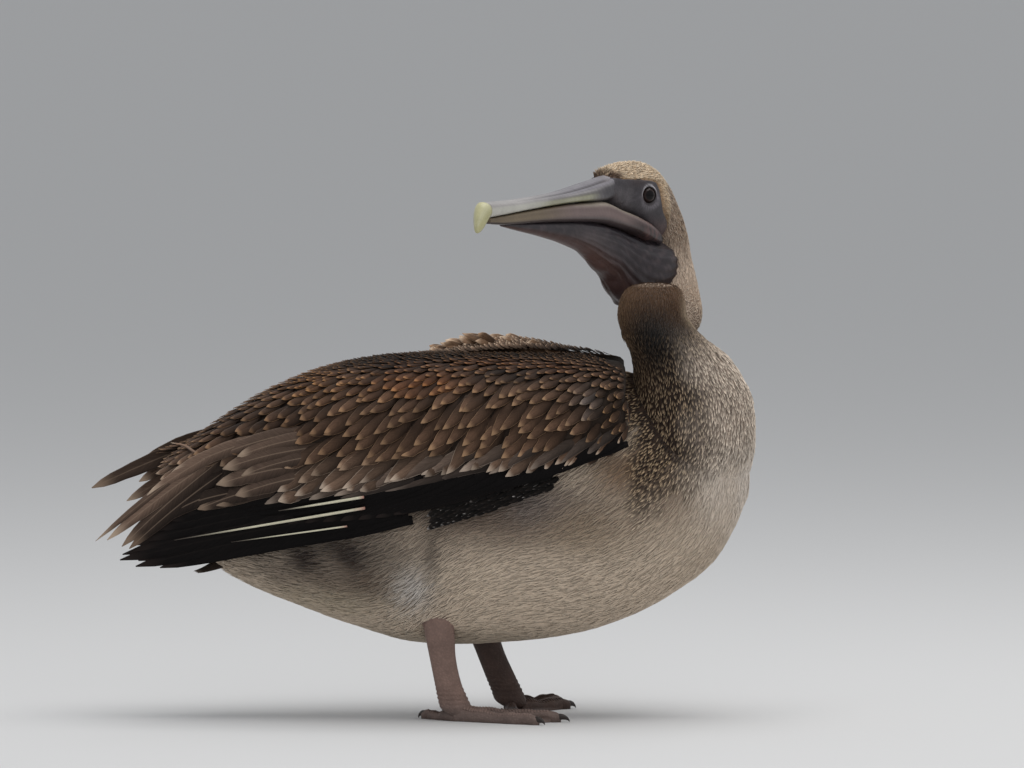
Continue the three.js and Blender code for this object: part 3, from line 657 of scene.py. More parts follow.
def toe_shape(side, toe):
    length = TOES[toe][1]
    t = np.linspace(0, 1, 56)[:, None]
    half = toe_half(toe, t)
    tip = np.where(t > 0.9, np.sqrt(np.maximum(1 - ((t - 0.9) / 0.1) ** 2, 0.05)), 1.0)
    a = turn(24)
    way = toe_way(side, toe)
    across = np.array([-way[1], way[0], 0.0])
    sine = np.sin(a)
    height = toe_ridge(toe, t, tip * sine)
    height = np.where(sine < -0.5, 0.0, np.maximum(height, 0.0))
    points = (ANKLE[side] + way * (t * length)[..., None]
              + across * (half * tip * np.cos(a))[..., None])
    points[..., 2] = height
    return shell(points)


def web_shape(side, first, second):
    """A sheet between two toes: thick where it leaves them, thin and sagging between."""
    ends = [ANKLE[side] + toe_way(side, toe) * TOES[toe][1] * 0.95 for toe in (first, second)]
    across = np.linspace(0, 1, 27)[None, :, None]
    out = np.linspace(0.02, 1, 24)[:, None, None]
    pull = ANKLE[side] * 0.16 + (ends[0] + ends[1]) / 2 * 0.84
    front = (1 - across) ** 2 * ends[0] + 2 * across * (1 - across) * pull + across**2 * ends[1]
    flat = ANKLE[side] + (front - ANKLE[side]) * out
    lift = (2.1 + 3.4 * (1 - out) + 2.4 * np.abs(2 * across - 1) ** 3)[..., 0]
    pleat = 0.28 * np.sin(across[..., 0] * 42 + 1.5 * out[..., 0]) * smooth(0.2, 0.7, out[..., 0])
    top, under = flat.copy(), flat.copy()
    top[..., 2] = np.minimum(lift, 6.5) * smooth(1.03, 0.9, out[..., 0]) * 0.72 + 0.55 + pleat
    under[..., 2] = 0.0
    return slabs(top[None], under[None])


foot_shapes = {side: [toe_shape(side, toe) for toe in TOES] + [web_shape(side, *pair) for pair in WEBS]
               for side in (-1, 1)}
print("shapes in one foot:", len(foot_shapes[-1]))

# %% [markdown]
# ## One skin
# A real bird has no seams, so the shapes above are joined into a single skin. The Boolean modifier does this:
# each shape is added to the trunk in turn, the eye openings are cut, and the result is read back as one
# closed mesh. Every shape brings a material of its own, and the faces keep it through the joins, so
# that later each place on the skin still knows whether it is neck, wing, pouch or foot.

# %% Join the shapes
REGIONS = ("trunk", "neck", "head", "pouch", "wing", "leg")
region_paints = [bpy.data.materials.new("skin of the " + name) for name in REGIONS]


def solid(name, shape, region):
    mesh = mesh_of(name, *shape)
    for paint in region_paints:
        mesh.materials.append(paint)
    mesh.polygons.foreach_set("material_index", np.full(len(mesh.polygons), REGIONS.index(region), np.int32))
    piece = bpy.data.objects.new(name.replace(" ", "_"), mesh)
    scene.collection.objects.link(piece)
    return piece


def carve(base, steps):
    """Adds and cuts shapes one after another and gives back the finished mesh."""
    for operation, tool in steps:
        change = base.modifiers.new(tool.name, "BOOLEAN")
        change.operation = operation
        change.solver = "MANIFOLD"
        change.object = tool
    view = bpy.context.evaluated_depsgraph_get()
    mesh = bpy.data.meshes.new_from_object(base.evaluated_get(view))
    for used in [base] + [tool for _, tool in steps]:
        bpy.data.objects.remove(used)
    return mesh


steps = [("UNION", solid("lower neck", lower_neck_shape, "neck")),
         ("UNION", solid("upper neck", upper_neck_shape, "neck")),
         ("UNION", solid("pouch bag", pouch_solid, "pouch")),
         ("UNION", solid("skull", head_solid, "head"))]
for side in (-1, 1):
    steps.append(("UNION", solid("lid ball", ball(eye_frame(side)[0], LID_SIZE, 60), "head")))
for side in (-1, 1):
    steps.append(("DIFFERENCE", solid("eye hollow", ball(eye_frame(side)[0], EYE_HOLLOW, 44), "head")))
    steps.append(("DIFFERENCE", solid("lid opening", lid_opening(side), "head")))
    steps.append(("UNION", solid("lid rim", lid_rim(side), "head")))
    steps.append(("UNION", solid("wing arm", wing_body(side), "wing")))
    steps.append(("UNION", solid("leg", leg_shape(side), "leg")))
    steps += [("UNION", solid("foot part", shape, "leg")) for shape in foot_shapes[side]]
skin_mesh = carve(solid("skin", trunk_shape, "trunk"), steps)
skin_mesh.name = "skin"
skin_mesh.calc_loop_triangles()
print("skin:", len(skin_mesh.loop_triangles), "triangles")

# %% Read the skin back as arrays
def read_skin(mesh):
    mesh.calc_loop_triangles()
    points = millimetres(read_all(mesh.vertices, "co", 3, float))
    owner = read_all(mesh.loop_triangles, "polygon_index")
    region = read_all(mesh.polygons, "material_index")
    return points, read_all(mesh.loop_triangles, "vertices", 3), region[owner]


skin_points, skin_triangles, skin_region = read_skin(skin_mesh)
skin_facing = normals_of(skin_points, [skin_triangles])
print("triangles by region", {name: int((skin_region == i).sum()) for i, name in enumerate(REGIONS)})

# %% [markdown]
# ## Shaders from small parts
# Most materials below are built from the same few effects, so each effect is made once as a node
# group with named inputs, and every material sets its own values. The first group paints a feather: it
# reads the feather's own place across and along its vane, keeps the middle one colour and the fringe
# another, rules a fine shaft, and combs thin barbs outwards from it. The second gives skin its pores.

# %% Node helpers
def node(tree, kind, settings=(), **inputs):
    """Adds a node. Inputs are set by name, with underscores for spaces, from a value or another socket."""
    made = tree.nodes.new(kind)
    for name, value in dict(settings).items():
        setattr(made, name, value)
    for name, value in inputs.items():
        socket = made.inputs[int(name[1:])] if name[0] == "_" else made.inputs[name.replace("_", " ")]
        if isinstance(value, bpy.types.NodeSocket):
            tree.links.new(value, socket)
        else:
            socket.default_value = value
    return made


def figure(tree, operation, *values):
    """One sum, on numbers or sockets."""
    return node(tree, "ShaderNodeMath", {"operation": operation},
                **{f"_{i}": value for i, value in enumerate(values)}).outputs[0]


def times(tree, first, second):
    return figure(tree, "MULTIPLY", first, second)


def ramp(tree, value, low, high, first=0.0, last=1.0):
    """A soft step from first to last as the value goes from low to high."""
    return node(tree, "ShaderNodeMapRange", {"interpolation_type": "SMOOTHSTEP"}, Value=value,
                From_Min=low, From_Max=high, To_Min=first, To_Max=last).outputs[0]


def blend(tree, share, first, second, how="MIX"):
    """Mixes two colours."""
    return node(tree, "ShaderNodeMix", {"data_type": "RGBA", "blend_type": how},
                _0=share, _6=first, _7=second).outputs[2]


def new_group(name, inputs, outputs):
    tree = bpy.data.node_groups.new(name, "ShaderNodeTree")
    for label, kind, value in inputs:
        socket = tree.interface.new_socket(label, in_out="INPUT", socket_type="NodeSocket" + kind)
        socket.default_value = value
    for label, kind in outputs:
        tree.interface.new_socket(label, in_out="OUTPUT", socket_type="NodeSocket" + kind)
    return tree, tree.nodes.new("NodeGroupInput").outputs, tree.nodes.new("NodeGroupOutput").inputs


GREY = (0.5, 0.5, 0.5, 1.0)

# %% The feather group
tree, given, result = new_group(
    "feather", [("Middle", "Color", GREY), ("Fringe", "Color", GREY), ("Fringe width", "Float", 0.2),
                ("Tip width", "Float", 0.3), ("Shaft", "Color", GREY), ("Shaft share", "Float", 0.0),
                ("Barbs", "Float", 0.2), ("Barb count", "Float", 30.0), ("Root shade", "Float", 0.3),
                ("Low shade", "Float", 0.0)],
    [("Colour", "Color"), ("Height", "Float")])
vane = node(tree, "ShaderNodeAttribute", {"attribute_name": "vane"}).outputs["Vector"]
place = node(tree, "ShaderNodeSeparateXYZ", _0=vane).outputs
off_shaft = figure(tree, "ABSOLUTE", place[0])
inner = figure(tree, "SUBTRACT", 1.0, given["Fringe width"])
side_edge = times(tree, ramp(tree, off_shaft, inner, figure(tree, "ADD", inner, 0.16)),
                  ramp(tree, place[1], 0.3, 0.8))
tip_edge = ramp(tree, place[1], figure(tree, "SUBTRACT", 1.0, given["Tip width"]), 1.0)
edge = figure(tree, "MAXIMUM", side_edge, tip_edge)
comb_place = figure(tree, "ADD", times(tree, place[1], given["Barb count"]), times(tree, off_shaft, -5.0))
wander = times(tree, place[2], 40.0)
lines = node(tree, "ShaderNodeTexNoise", {"noise_dimensions": "2D"}, Scale=1.0, Detail=2.0, Roughness=0.7,
             Vector=node(tree, "ShaderNodeCombineXYZ", _0=comb_place,
                         _1=figure(tree, "ADD", times(tree, off_shaft, 0.7), wander)).outputs[0])
barb = ramp(tree, lines.outputs[0], 0.3, 0.7, -1.0, 1.0)
shade = figure(tree, "ADD", 1.0, times(tree, barb, given["Barbs"]))
# Root shade paints shade where a feather comes out from under the one before, and Low shade paints shade
# along its lower edge.
covered = ramp(tree, place[1], 0.35, 0.92, 1.0, 0.0)
shade = times(tree, shade, figure(tree, "SUBTRACT", 1.0, times(tree, covered, given["Root shade"])))
low_side = ramp(tree, place[0], -0.1, 0.95)
shade = times(tree, shade, figure(tree, "SUBTRACT", 1.0, times(tree, low_side, given["Low shade"])))
shaft = times(tree, ramp(tree, off_shaft, 0.03, 0.10, 1.0, 0.0), given["Shaft share"])
body_colour = blend(tree, 1.0, given["Middle"],
                    node(tree, "ShaderNodeCombineColor", _0=shade, _1=shade, _2=shade).outputs[0], "MULTIPLY")
body_colour = blend(tree, edge, body_colour, given["Fringe"])
tree.links.new(blend(tree, shaft, body_colour, given["Shaft"]), result["Colour"])
height = figure(tree, "ADD", times(tree, barb, 0.35), times(tree, shaft, 0.8))
tree.links.new(height, result["Height"])
feather_group = tree
print("feather group nodes", len(tree.nodes))

# %% The hide group
tree, given, result = new_group(
    "hide", [("Colour", "Color", GREY), ("Mottle", "Float", 0.2), ("Grain", "Float", 900.0),
             ("Blotch", "Float", 60.0)],
    [("Colour", "Color"), ("Height", "Float")])
spot = node(tree, "ShaderNodeTexCoord").outputs["Object"]
pores = node(tree, "ShaderNodeTexVoronoi", {"feature": "F1"}, Vector=spot, Scale=given["Grain"])
blotch = node(tree, "ShaderNodeTexNoise", Vector=spot, Scale=given["Blotch"], Detail=4.0, Roughness=0.6)
swing = ramp(tree, blotch.outputs[0], 0.3, 0.7, -1.0, 1.0)
pit = ramp(tree, pores.outputs["Distance"], 0.1, 0.6)
shade = figure(tree, "ADD", 1.0, times(tree, swing, given["Mottle"]))
shade = times(tree, shade, ramp(tree, pores.outputs["Distance"], 0.0, 0.8, 1.06, 0.86))
grey = node(tree, "ShaderNodeCombineColor", _0=shade, _1=shade, _2=shade).outputs[0]
tree.links.new(blend(tree, 1.0, given["Colour"], grey, "MULTIPLY"), result["Colour"])
tree.links.new(figure(tree, "SUBTRACT", 1.0, pit), result["Height"])
hide_group = tree
print("hide group nodes", len(tree.nodes))


# %% Materials made with the groups
def finish(name, roughness, sheen=0.0, coat=0.0, specular=0.3):
    """A new material with its plain numbers set, and its tree and shader to build on."""
    material = bpy.data.materials.new(name)
    material.use_nodes = True
    shader = material.node_tree.nodes["Principled BSDF"]
    shader.inputs["Roughness"].default_value = roughness
    shader.inputs["Sheen Weight"].default_value = sheen
    shader.inputs["Sheen Roughness"].default_value = 0.5
    shader.inputs["Coat Weight"].default_value = coat
    shader.inputs["Coat Roughness"].default_value = 0.12
    shader.inputs["Specular IOR Level"].default_value = specular
    return material, material.node_tree, shader


def marked(tree, name):
    return node(tree, "ShaderNodeAttribute", {"attribute_name": name}).outputs["Color"]


def bumped(tree, shader, height, strength, distance):
    bump = node(tree, "ShaderNodeBump", Strength=strength, Distance=distance, Height=height)
    tree.links.new(bump.outputs[0], shader.inputs["Normal"])


def feather_finish(name, fringe_width, tip_width, barbs, barb_count, shaft_share, shaft, root_shade,
                   low_shade=0.0, roughness=0.75, sheen=0.04, bump=0.25, specular=0.12):
    material, tree, shader = finish(name, roughness, sheen, specular=specular)
    vane = node(tree, "ShaderNodeGroup", {"node_tree": feather_group}, Middle=marked(tree, "tint"),
                Fringe=marked(tree, "fringe"), Fringe_width=fringe_width, Tip_width=tip_width, Barbs=barbs,
                Barb_count=barb_count, Shaft_share=shaft_share, Shaft=(*shaft, 1.0), Root_shade=root_shade,
                Low_shade=low_shade)
    tree.links.new(vane.outputs["Colour"], shader.inputs["Base Color"])
    bumped(tree, shader, vane.outputs["Height"], bump, 0.0004)
    return material


def hide_finish(name, roughness, mottle, grain, blotch, bump, coat=0.0, specular=0.35):
    material, tree, shader = finish(name, roughness, coat=coat, specular=specular)
    hide = node(tree, "ShaderNodeGroup", {"node_tree": hide_group}, Colour=marked(tree, "tint"),
                Mottle=mottle, Grain=grain, Blotch=blotch)
    tree.links.new(hide.outputs["Colour"], shader.inputs["Base Color"])
    bumped(tree, shader, hide.outputs["Height"], bump, 0.0003)
    return material


down = feather_finish("soft body feathers", 0.34, 0.45, 0.06, 9.0, 0.0, (0.3, 0.3, 0.3), 0.10,
                      roughness=0.85, sheen=0.10, bump=0.12)
streaky = feather_finish("streaked neck feathers", 0.0, 0.62, 0.10, 9.0, 0.0, (0.3, 0.3, 0.3), 0.45,
                         roughness=0.85, sheen=0.05, bump=0.12)
covert = feather_finish("wing coverts", 0.12, 0.20, 0.16, 26.0, 0.25, colour(52, 40, 32), 0.62, 0.45)
long_vane = feather_finish("long soft feathers", 0.08, 0.16, 0.16, 60.0, 0.35, colour(150, 130, 112), 0.30,
                           0.45)
flight = feather_finish("black flight feathers", 0.08, 0.1, 0.22, 70.0, 0.3, colour(34, 30, 27), 0.2, 0.3,
                        0.55, 0.0, specular=0.08)
face_skin = hide_finish("bare face skin", 0.50, 0.22, 900.0, 170.0, 0.45)
pouch_skin = hide_finish("pouch skin", 0.42, 0.16, 1100.0, 70.0, 0.30)
leg_skin = hide_finish("leg skin", 0.60, 0.16, 420.0, 60.0, 0.8)
under_skin = hide_finish("skin under the feathers", 0.9, 0.10, 700.0, 60.0, 0.2)
horn = hide_finish("bill horn", 0.38, 0.10, 1500.0, 45.0, 0.12, 0.15)
print("materials", len(bpy.data.materials))

# %% [markdown]
# ## Where the colours lie
# A young brown pelican is brown above and whitish below, with a dark, finely streaked neck. The
# markings are painted as a few soft strokes, each a place, a reach and a colour, laid one over the next
# like washes, and a few of the strokes are painted shade and painted highlights instead. The skin and
# the feathers ask the same function, so where the feathers part, the skin between them has the right
# colour. Two colours come back: the feather's own, and its fringe.

# %% Body markings
def stroke(points, middle, reach):
    """How much of a soft wash lands on each point. The bird is the same on both sides of its trunk."""
    away = points.copy()
    away[:, 1] = np.abs(away[:, 1])
    return np.exp(-((((away - middle) / reach) ** 2).sum(1) ** 1.3))


def cloudy(points, size, seed):
    """Gentle unevenness, from a few crossed waves."""
    dice = np.random.default_rng(seed)
    total = np.zeros(len(points))
    for _ in range(7):
        way = unit(dice.normal(size=3)) * dice.uniform(0.7, 1.6) / size
        total += np.sin(points @ way * 2 * np.pi + dice.uniform(0, 6.3))
    return total / 3.5


BELLY_WASHES = (
    # middle of the wash, its reach, colour of the feather, colour of the fringe, strength
    ((90, 60, 196), (110, 70, 32), (112, 94, 80), (160, 143, 126), 0.90),
    # this row and the next are painted shade: a darker band just under the wing's hanging edge, darkest under
    # its rear
    ((60, 60, 214), (120, 70, 26), (78, 64, 56), (128, 112, 100), 0.85),
    ((-84, 60, 162), (84, 70, 38), (46, 36, 31), (84, 70, 60), 1.0),
    ((-60, 60, 130), (60, 70, 18), (104, 89, 76), (150, 134, 118), 0.75),
    # painted shade: a grey patch under the front of the wing's hanging edge
    ((112, 80, 210), (30, 60, 24), (122, 112, 108), (176, 166, 160), 0.60),
    ((160, 75, 186), (46, 60, 26), (140, 120, 98), (188, 170, 146), 0.60),
    ((190, 80, 244), (26, 60, 22), (104, 74, 46), (156, 120, 82), 1.0),
    ((226, 66, 222), (44, 60, 30), (134, 114, 96), (190, 172, 150), 0.75),
    ((-4, 52, 132), (20, 40, 22), (206, 200, 194), (236, 231, 226), 0.9),
    ((13, 60, 166), (8, 40, 26), (46, 37, 32), (84, 72, 62), 0.90),
    # this row and the next are painted shade along the underside of the belly
    ((-80, 30, 112), (60, 60, 16), (176, 162, 140), (204, 192, 172), 0.60),
    ((20, 30, 74), (150, 60, 14), (158, 146, 128), (186, 174, 156), 0.60),
    ((292, 10, 236), (40, 90, 56), (222, 210, 198), (238, 230, 220), 0.9),
)


def belly_markings(points, plain=False):
    tint, fringe = colour(208, 190, 170), colour(222, 207, 188)
    patchy = 1 + 0.22 * cloudy(points, 46, 3)
    if not plain:
        dark, streak = neck_markings(points)
        share = neck_share(points)
        tint, fringe = mix(tint, dark, share), mix(fringe, streak, share)
    for middle, reach, own, edge, strength in BELLY_WASHES:
        share = np.clip(stroke(points, np.array(middle), np.array(reach)) * strength * patchy, 0, 1)
        tint, fringe = washed(tint, (own, share)), washed(fringe, (edge, share))
    return tint, fringe


def neck_share(points):
    """Where the dark streaked neck fades into the breast, along a line that climbs forwards."""
    x, _, z = points.T
    return smooth(-24, 32, z - 212 - 0.6 * (x - 220)) * np.maximum(smooth(190, 208, x), smooth(256, 290, z))


def neck_markings(points):
    """The lower neck: a tan knob, a dark streaked column, and a pale front towards the breast."""
    x, y, z = points.T
    left, right = along(LOWER_NECK, np.clip(z, 196, 417))[:2]
    front = (x - left) / np.maximum(right - left, 1.0)
    knob = smooth(366, 398, z)
    edge = hump(front, 0.0, 0.22) * hump(z, 372, 46)
    # painted highlight: a pale stripe down the knob's front edge, where the pale upper neck begins
    rim = smooth(0.84, 1.0, front) * hump(z, 386, 18)
    pale = smooth(0.30, 0.86, front + 0.10 * cloudy(points, 40, 5)) * smooth(384, 340, z)
    centre = hump(x, 216, 34) * hump(z, 364, 38) * smooth(20, -20, y)
    dark = washed(colour(56, 41, 33), ((100, 74, 54), knob), ((122, 94, 70), edge), ((186, 164, 138), rim),
                  ((208, 190, 174), pale), ((16, 11, 9), centre))
    streak = washed(colour(196, 170, 138), ((146, 114, 86), knob), ((176, 146, 116), edge),
                    ((222, 204, 180), rim), ((240, 226, 208), pale), ((38, 27, 21), centre * 0.95))
    body, body_fringe = belly_markings(points, True)
    share = neck_share(points)
    return mix(body, dark, share), mix(body_fringe, streak, share)


def upper_neck_markings(points):
    """Pale grey-beige with a mottled brown nape."""
    f, _, u = to_head(points)
    nape = smooth(-66, -36, u) * smooth(-26, -48, f)
    spots = smooth(0.45, 0.9, cloudy(points, 9, 11)) * smooth(-110, -20, u)
    low = smooth(428, 392, points[:, 2])
    tint = washed(colour(178, 159, 142), ((112, 88, 66), 0.55 * nape), ((66, 50, 40), 0.65 * spots),
                  ((118, 92, 68), 0.6 * low))
    return tint, colour(224, 208, 190)


def head_markings(points):
    """Cream crown with a golden fringe towards the face, and painted shadow under the front of the crown."""
    f, _, u = to_head(points)
    rim = smooth(-9, -1, bareness(points))
    # painted shadow under the crown's front edge, above the bill
    forehead_shadow = smooth(34, 46, f) * smooth(26.5, 21, u)
    cheek = smooth(-4, -22, u) * smooth(-14, -26, f)
    tint = washed(colour(200, 176, 148), ((132, 98, 62), 0.75 * rim), ((62, 38, 26), 0.9 * forehead_shadow),
                  ((134, 108, 80), 0.7 * cheek))
    fringe = washed(colour(246, 232, 208), ((176, 142, 98), 0.6 * rim), ((92, 60, 38), 0.9 * forehead_shadow),
                    ((196, 176, 144), 0.5 * cheek))
    return tint, fringe


def face_markings(points):
    """Bare slate skin, lighter on the lids, browner under the gape."""
    f, _, u = to_head(points)
    tint = washed(colour(58, 54, 58), ((82, 77, 80), smooth(18, 34, f) * smooth(14, 4, u) * 0.8),
                  ((54, 44, 44), hump(f, 16, 14) * smooth(6, 15, u) * 0.7))
    for side in (-1, 1):
        middle, sight, lid_way, lid_up = eye_frame(side)
        away = points - middle
        across = np.sqrt((away @ lid_way) ** 2 + (away @ lid_up) ** 2)
        near = smooth(21, 15, np.linalg.norm(away, axis=1)) * (away @ sight > 0)
        rays = np.sin(np.arctan2(away @ lid_up, away @ lid_way) * 27 + 0.4 * across)
        below = smooth(2, -5, away @ lid_up)
        above = smooth(-3.0, 3.0, away @ lid_up)
        tint = washed(tint, ((122, 117, 123), hump(across, 12.0, 4.0) * (0.15 + 0.85 * below) * near * 0.75),
                      ((60, 55, 59), hump(across, 13.0, 4.0) * smooth(0.2, 0.9, rays) * near * 0.6),
                      ((66, 60, 64), smooth(10.8, 9.8, across) * near),
                      ((172, 168, 172), hump(across, 9.5, 0.9) * above * near),
                      ((26, 21, 21), smooth(8.6, 8.0, across) * near * 0.9))
    return washed(tint, ((84, 64, 62), smooth(-18, -32, u) * smooth(10, -30, f) * 0.7),
                  ((38, 30, 30), hump(bareness(points), 0.6, 1.3) * smooth(8, -2, u) * 0.85))


def pouch_markings(points):
    """Slate violet, redder at the lower front, with lighter mottles, painted shade along the top under the
    lower bill, and a painted highlight on the front of the bag.
    """
    f, _, u = to_head(points)
    top, bottom, _ = along(POUCH, f)
    drop = (u - bottom) / np.maximum(top - bottom, 1)
    return washed(colour(42, 35, 39), ((96, 70, 63), smooth(0.5, 0.0, drop) * smooth(0, 70, f) * 0.75),
                  ((92, 68, 64), smooth(0.34, 0.0, drop) * smooth(60, 0, f) * 0.6),
                  # painted shade along the top of the bag, under the lower bill
                  ((40, 36, 41), smooth(0.6, 0.95, drop) * 0.8),
                  # painted highlight: a paler patch on the front of the bag
                  ((96, 84, 84), hump(f, 96, 28) * hump(drop, 0.45, 0.25) * 0.4),
                  ((84, 72, 74), np.clip(cloudy(points, 11, 21), 0, 1) * 0.4))


def leg_markings(points):
    """Brownish flesh, darker towards the floor, with painted shade that makes the far leg much darker."""
    toes, far = smooth(24, 6, points[:, 2]), smooth(-10, 10, points[:, 1])
    # painted shade: the far leg is much darker than the near one
    return washed(colour(124, 101, 92), ((106, 90, 84), toes), ((72, 56, 50), far))


# %% Paint the skin
def region_points(name):
    mask = np.zeros(len(skin_points), bool)
    mask[skin_triangles[skin_region == REGIONS.index(name)].ravel()] = True
    return mask


def skin_tints():
    tint = belly_markings(skin_points)[0] * 0.8
    on_neck, on_head = region_points("neck"), region_points("head")
    upper = skin_points[:, 2] > 412
    upper |= (skin_points[:, 1] > -34) & (skin_points[:, 2] > 352)
    low_neck, high_neck = on_neck & ~upper, on_neck & upper
    tint[low_neck] = neck_markings(skin_points[low_neck])[0] * 0.9
    tint[high_neck] = upper_neck_markings(skin_points[high_neck])[0]
    feathered = head_markings(skin_points[on_head])[0]
    bare = face_markings(skin_points[on_head])
    tint[on_head] = mix(feathered, bare, smooth(-0.8, 0.8, bareness(skin_points[on_head])))
    for name, markings in (("pouch", pouch_markings), ("leg", leg_markings)):
        mask = region_points(name)
        tint[mask] = markings(skin_points[mask])
    tint[region_points("wing")] = colour(46, 36, 29)
    return tint


add_marks(skin_mesh, tint=skin_tints())
finishes = {"trunk": under_skin, "neck": under_skin, "head": face_skin, "pouch": pouch_skin,
            "wing": under_skin, "leg": leg_skin}
for slot_number, name in enumerate(REGIONS):
    skin_mesh.materials[slot_number] = finishes[name]
for paint in region_paints:
    bpy.data.materials.remove(paint)
show("skin", skin_mesh, None, "pouch_skin", "trunk", "neck_lower", "neck_upper", "head", "pouch",
     "wing_right", "wing_left", "leg_right", "leg_left", "foot_right", "foot_left")

# %% [markdown]
# ## The lie of the coat
# Feathers all lean away from the bill and towards the tail, and they turn round every swell of the
# body on the way. A few guide strokes say which way they lean at a handful of places, and the lie anywhere
# else is the blend of the strokes near it, flattened onto the skin. Roots are then scattered
# evenly over the skin by area, as a taxidermist spaces them, with none left where a wing covers it.

# %% Guide strokes
TRUNK_LIE = (
    ((312, 0, 236), (0.05, 0, -1)), ((284, 50, 205), (-0.30, 0, -1)), ((235, 72, 150), (-0.85, 0, -0.5)),
    ((150, 84, 122), (-1, 0, -0.16)), ((60, 70, 98), (-1, 0, 0.0)), ((-60, 55, 110), (-1, 0, 0.06)),
    ((-170, 36, 140), (-1, 0, 0.12)), ((60, 95, 205), (-1, 0, -0.30)), ((170, 92, 235), (-0.75, 0, -0.6)),
    ((-80, 60, 170), (-1, 0, -0.18)), ((-4, 50, 126), (-0.45, 0, -1)), ((24, 50, 116), (-0.5, 0, -0.9)),
    ((230, 20, 120), (-0.9, 0, -0.35)), ((70, 0, 72), (-1, 0, 0)), ((286, 0, 160), (-0.5, 0, -0.8)),
)
NECK_LIE = (
    ((222, -60, 414), (0, -1, 0.15)), ((222, -84, 392), (0, -0.5, -0.9)),
    ((192, -60, 380), (-0.8, -0.3, -0.8)), ((250, -60, 372), (0.8, -0.3, -0.7)),
    ((205, -88, 350), (-0.12, -0.2, -1)), ((286, -50, 335), (0.55, 0, -0.85)),
    ((210, -86, 300), (-0.16, 0, -1)), ((300, -30, 300), (0.32, 0, -1)), ((210, -72, 250), (-0.30, 0, -1)),
    ((312, 0, 262), (0.08, 0, -1)), ((260, -72, 250), (-0.22, 0, -1)), ((230, -60, 205), (-0.5, 0, -0.9)),
    ((250, 30, 340), (0.2, 0.6, -0.8)), ((230, 50, 290), (-0.1, 0.1, -1)), ((190, 0, 300), (-0.5, 0, -1)),
    ((240, 50, 240), (-0.3, 0, -1)), ((196, 0, 350), (-0.6, 0, -0.8)),
)


def mirrored(guides):
    both = list(guides)
    both += [((x, -y, z), (dx, -dy, dz)) for (x, y, z), (dx, dy, dz) in guides if y != 0]
    return both


def flattened(way, facing):
    """A direction without the part that points out of the skin."""
    return unit(way - facing * (way * facing).sum(1, keepdims=True))


def lie(points, facing, guides, reach):
    """The way the feathers lean, blended from the guides and flattened onto the skin."""
    way = np.zeros_like(points)
    for place, lean in guides:
        weight = np.exp(-((points - np.array(place)) ** 2).sum(1) / reach**2) + 1e-9
        way += weight[:, None] * unit(np.array(lean, float))
    return flattened(unit(way), facing)


def scatter(mask, spacing, seed):
    """Even roots on the chosen triangles: throw too many, then keep one in every small cube."""
    dice = np.random.default_rng(seed)
    chosen = skin_triangles[mask]
    corners = skin_points[chosen]
    area = np.linalg.norm(np.cross(corners[:, 1] - corners[:, 0], corners[:, 2] - corners[:, 0]), axis=1)
    count = int(area.sum() / 2 / spacing**2 * 2.4)
    pick = dice.choice(len(chosen), count, p=area / area.sum())
    share = dice.dirichlet((1, 1, 1), count)[..., None]
    roots = (corners[pick] * share).sum(1)
    facing = unit((skin_facing[chosen[pick]] * share).sum(1))
    _, keep = np.unique(np.floor(roots / spacing), axis=0, return_index=True)
    return roots[keep], facing[keep]


def region_is(*names):
    return np.isin(skin_region, [REGIONS.index(name) for name in names])


print("trunk guides", len(mirrored(TRUNK_LIE)), "neck guides", len(NECK_LIE))

# %% [markdown]
# ## Tufts
# On the body the feathers are so fine and loose that they read as short soft locks. Each lock is a
# closed, slightly ridged blade that leaves the skin at a low angle and lies back on its neighbours. All
# blades of a patch are worked out in one go, every one with its own length, width, lean and colour, and
# handed over as one mesh. Its bake map puts each blade on a tiny patch at its root's place on the
# body's own unwrap, which runs along the body one way and round it the other.

# %% The tuft maker
def tufts(roots, facing, way, length, width, lift, rows, seed, droop=0.0):
    """Closed blades with a ridge. Returns points, faces and each point's place on its blade."""
    dice = np.random.default_rng(seed)
    count = len(roots)
    turn_by = dice.normal(0, 0.16, count)[:, None]
    way = unit(way + np.cross(facing, way) * turn_by)
    side = unit(np.cross(facing, way))
    length = length * dice.uniform(0.78, 1.2, count)
    width = width * dice.uniform(0.8, 1.2, count)
    rise = lift * dice.uniform(0.5, 1.5, count)
    bend = dice.normal(0, 0.05, count)
    steps = np.linspace(0, 1, rows + 1)[:-1] ** 0.85
    body = (0.55, 1.0, 0.92, 0.55) if rows == 4 else (0.55, 1.0, 0.55)
    points = np.empty((count, rows * 3 + 1, 3))
    place = np.empty((count, rows * 3 + 1, 2))

    def spine(s):
        out = rise * length * (s - droop * s * s) + 0.12
        return (roots + way * (length * s)[:, None] + side * (bend * length * s * s)[:, None]
                + facing * out[:, None])

    for i, s in enumerate(steps):
        middle = spine(np.full(count, s))
        half = (width * body[i] / 2)[:, None]
        points[:, 3 * i] = middle - side * half
        points[:, 3 * i + 1] = middle + side * half
        points[:, 3 * i + 2] = middle + facing * half * 0.62
        place[:, 3 * i: 3 * i + 3, 1] = s
        place[:, 3 * i, 0], place[:, 3 * i + 1, 0], place[:, 3 * i + 2, 0] = -1, 1, 0
    points[:, -1] = spine(np.ones(count))
    place[:, -1] = (0, 1)
    one = [[0, 1, 2]]
    for i in range(rows - 1):
        for a, b in ((0, 1), (1, 2), (2, 0)):
            p, q = 3 * i + a, 3 * i + b
            one += [[p, p + 3, q], [q, p + 3, q + 3]]
    last, tip = 3 * (rows - 1), 3 * rows
    one += [[last + a, tip, last + b] for a, b in ((0, 1), (1, 2), (2, 0))]
    faces = (np.array(one)[None] + (np.arange(count) * (rows * 3 + 1))[:, None, None]).reshape(-1, 3)
    return outward(points.reshape(-1, 3), [faces]) + (place.reshape(-1, 2),)


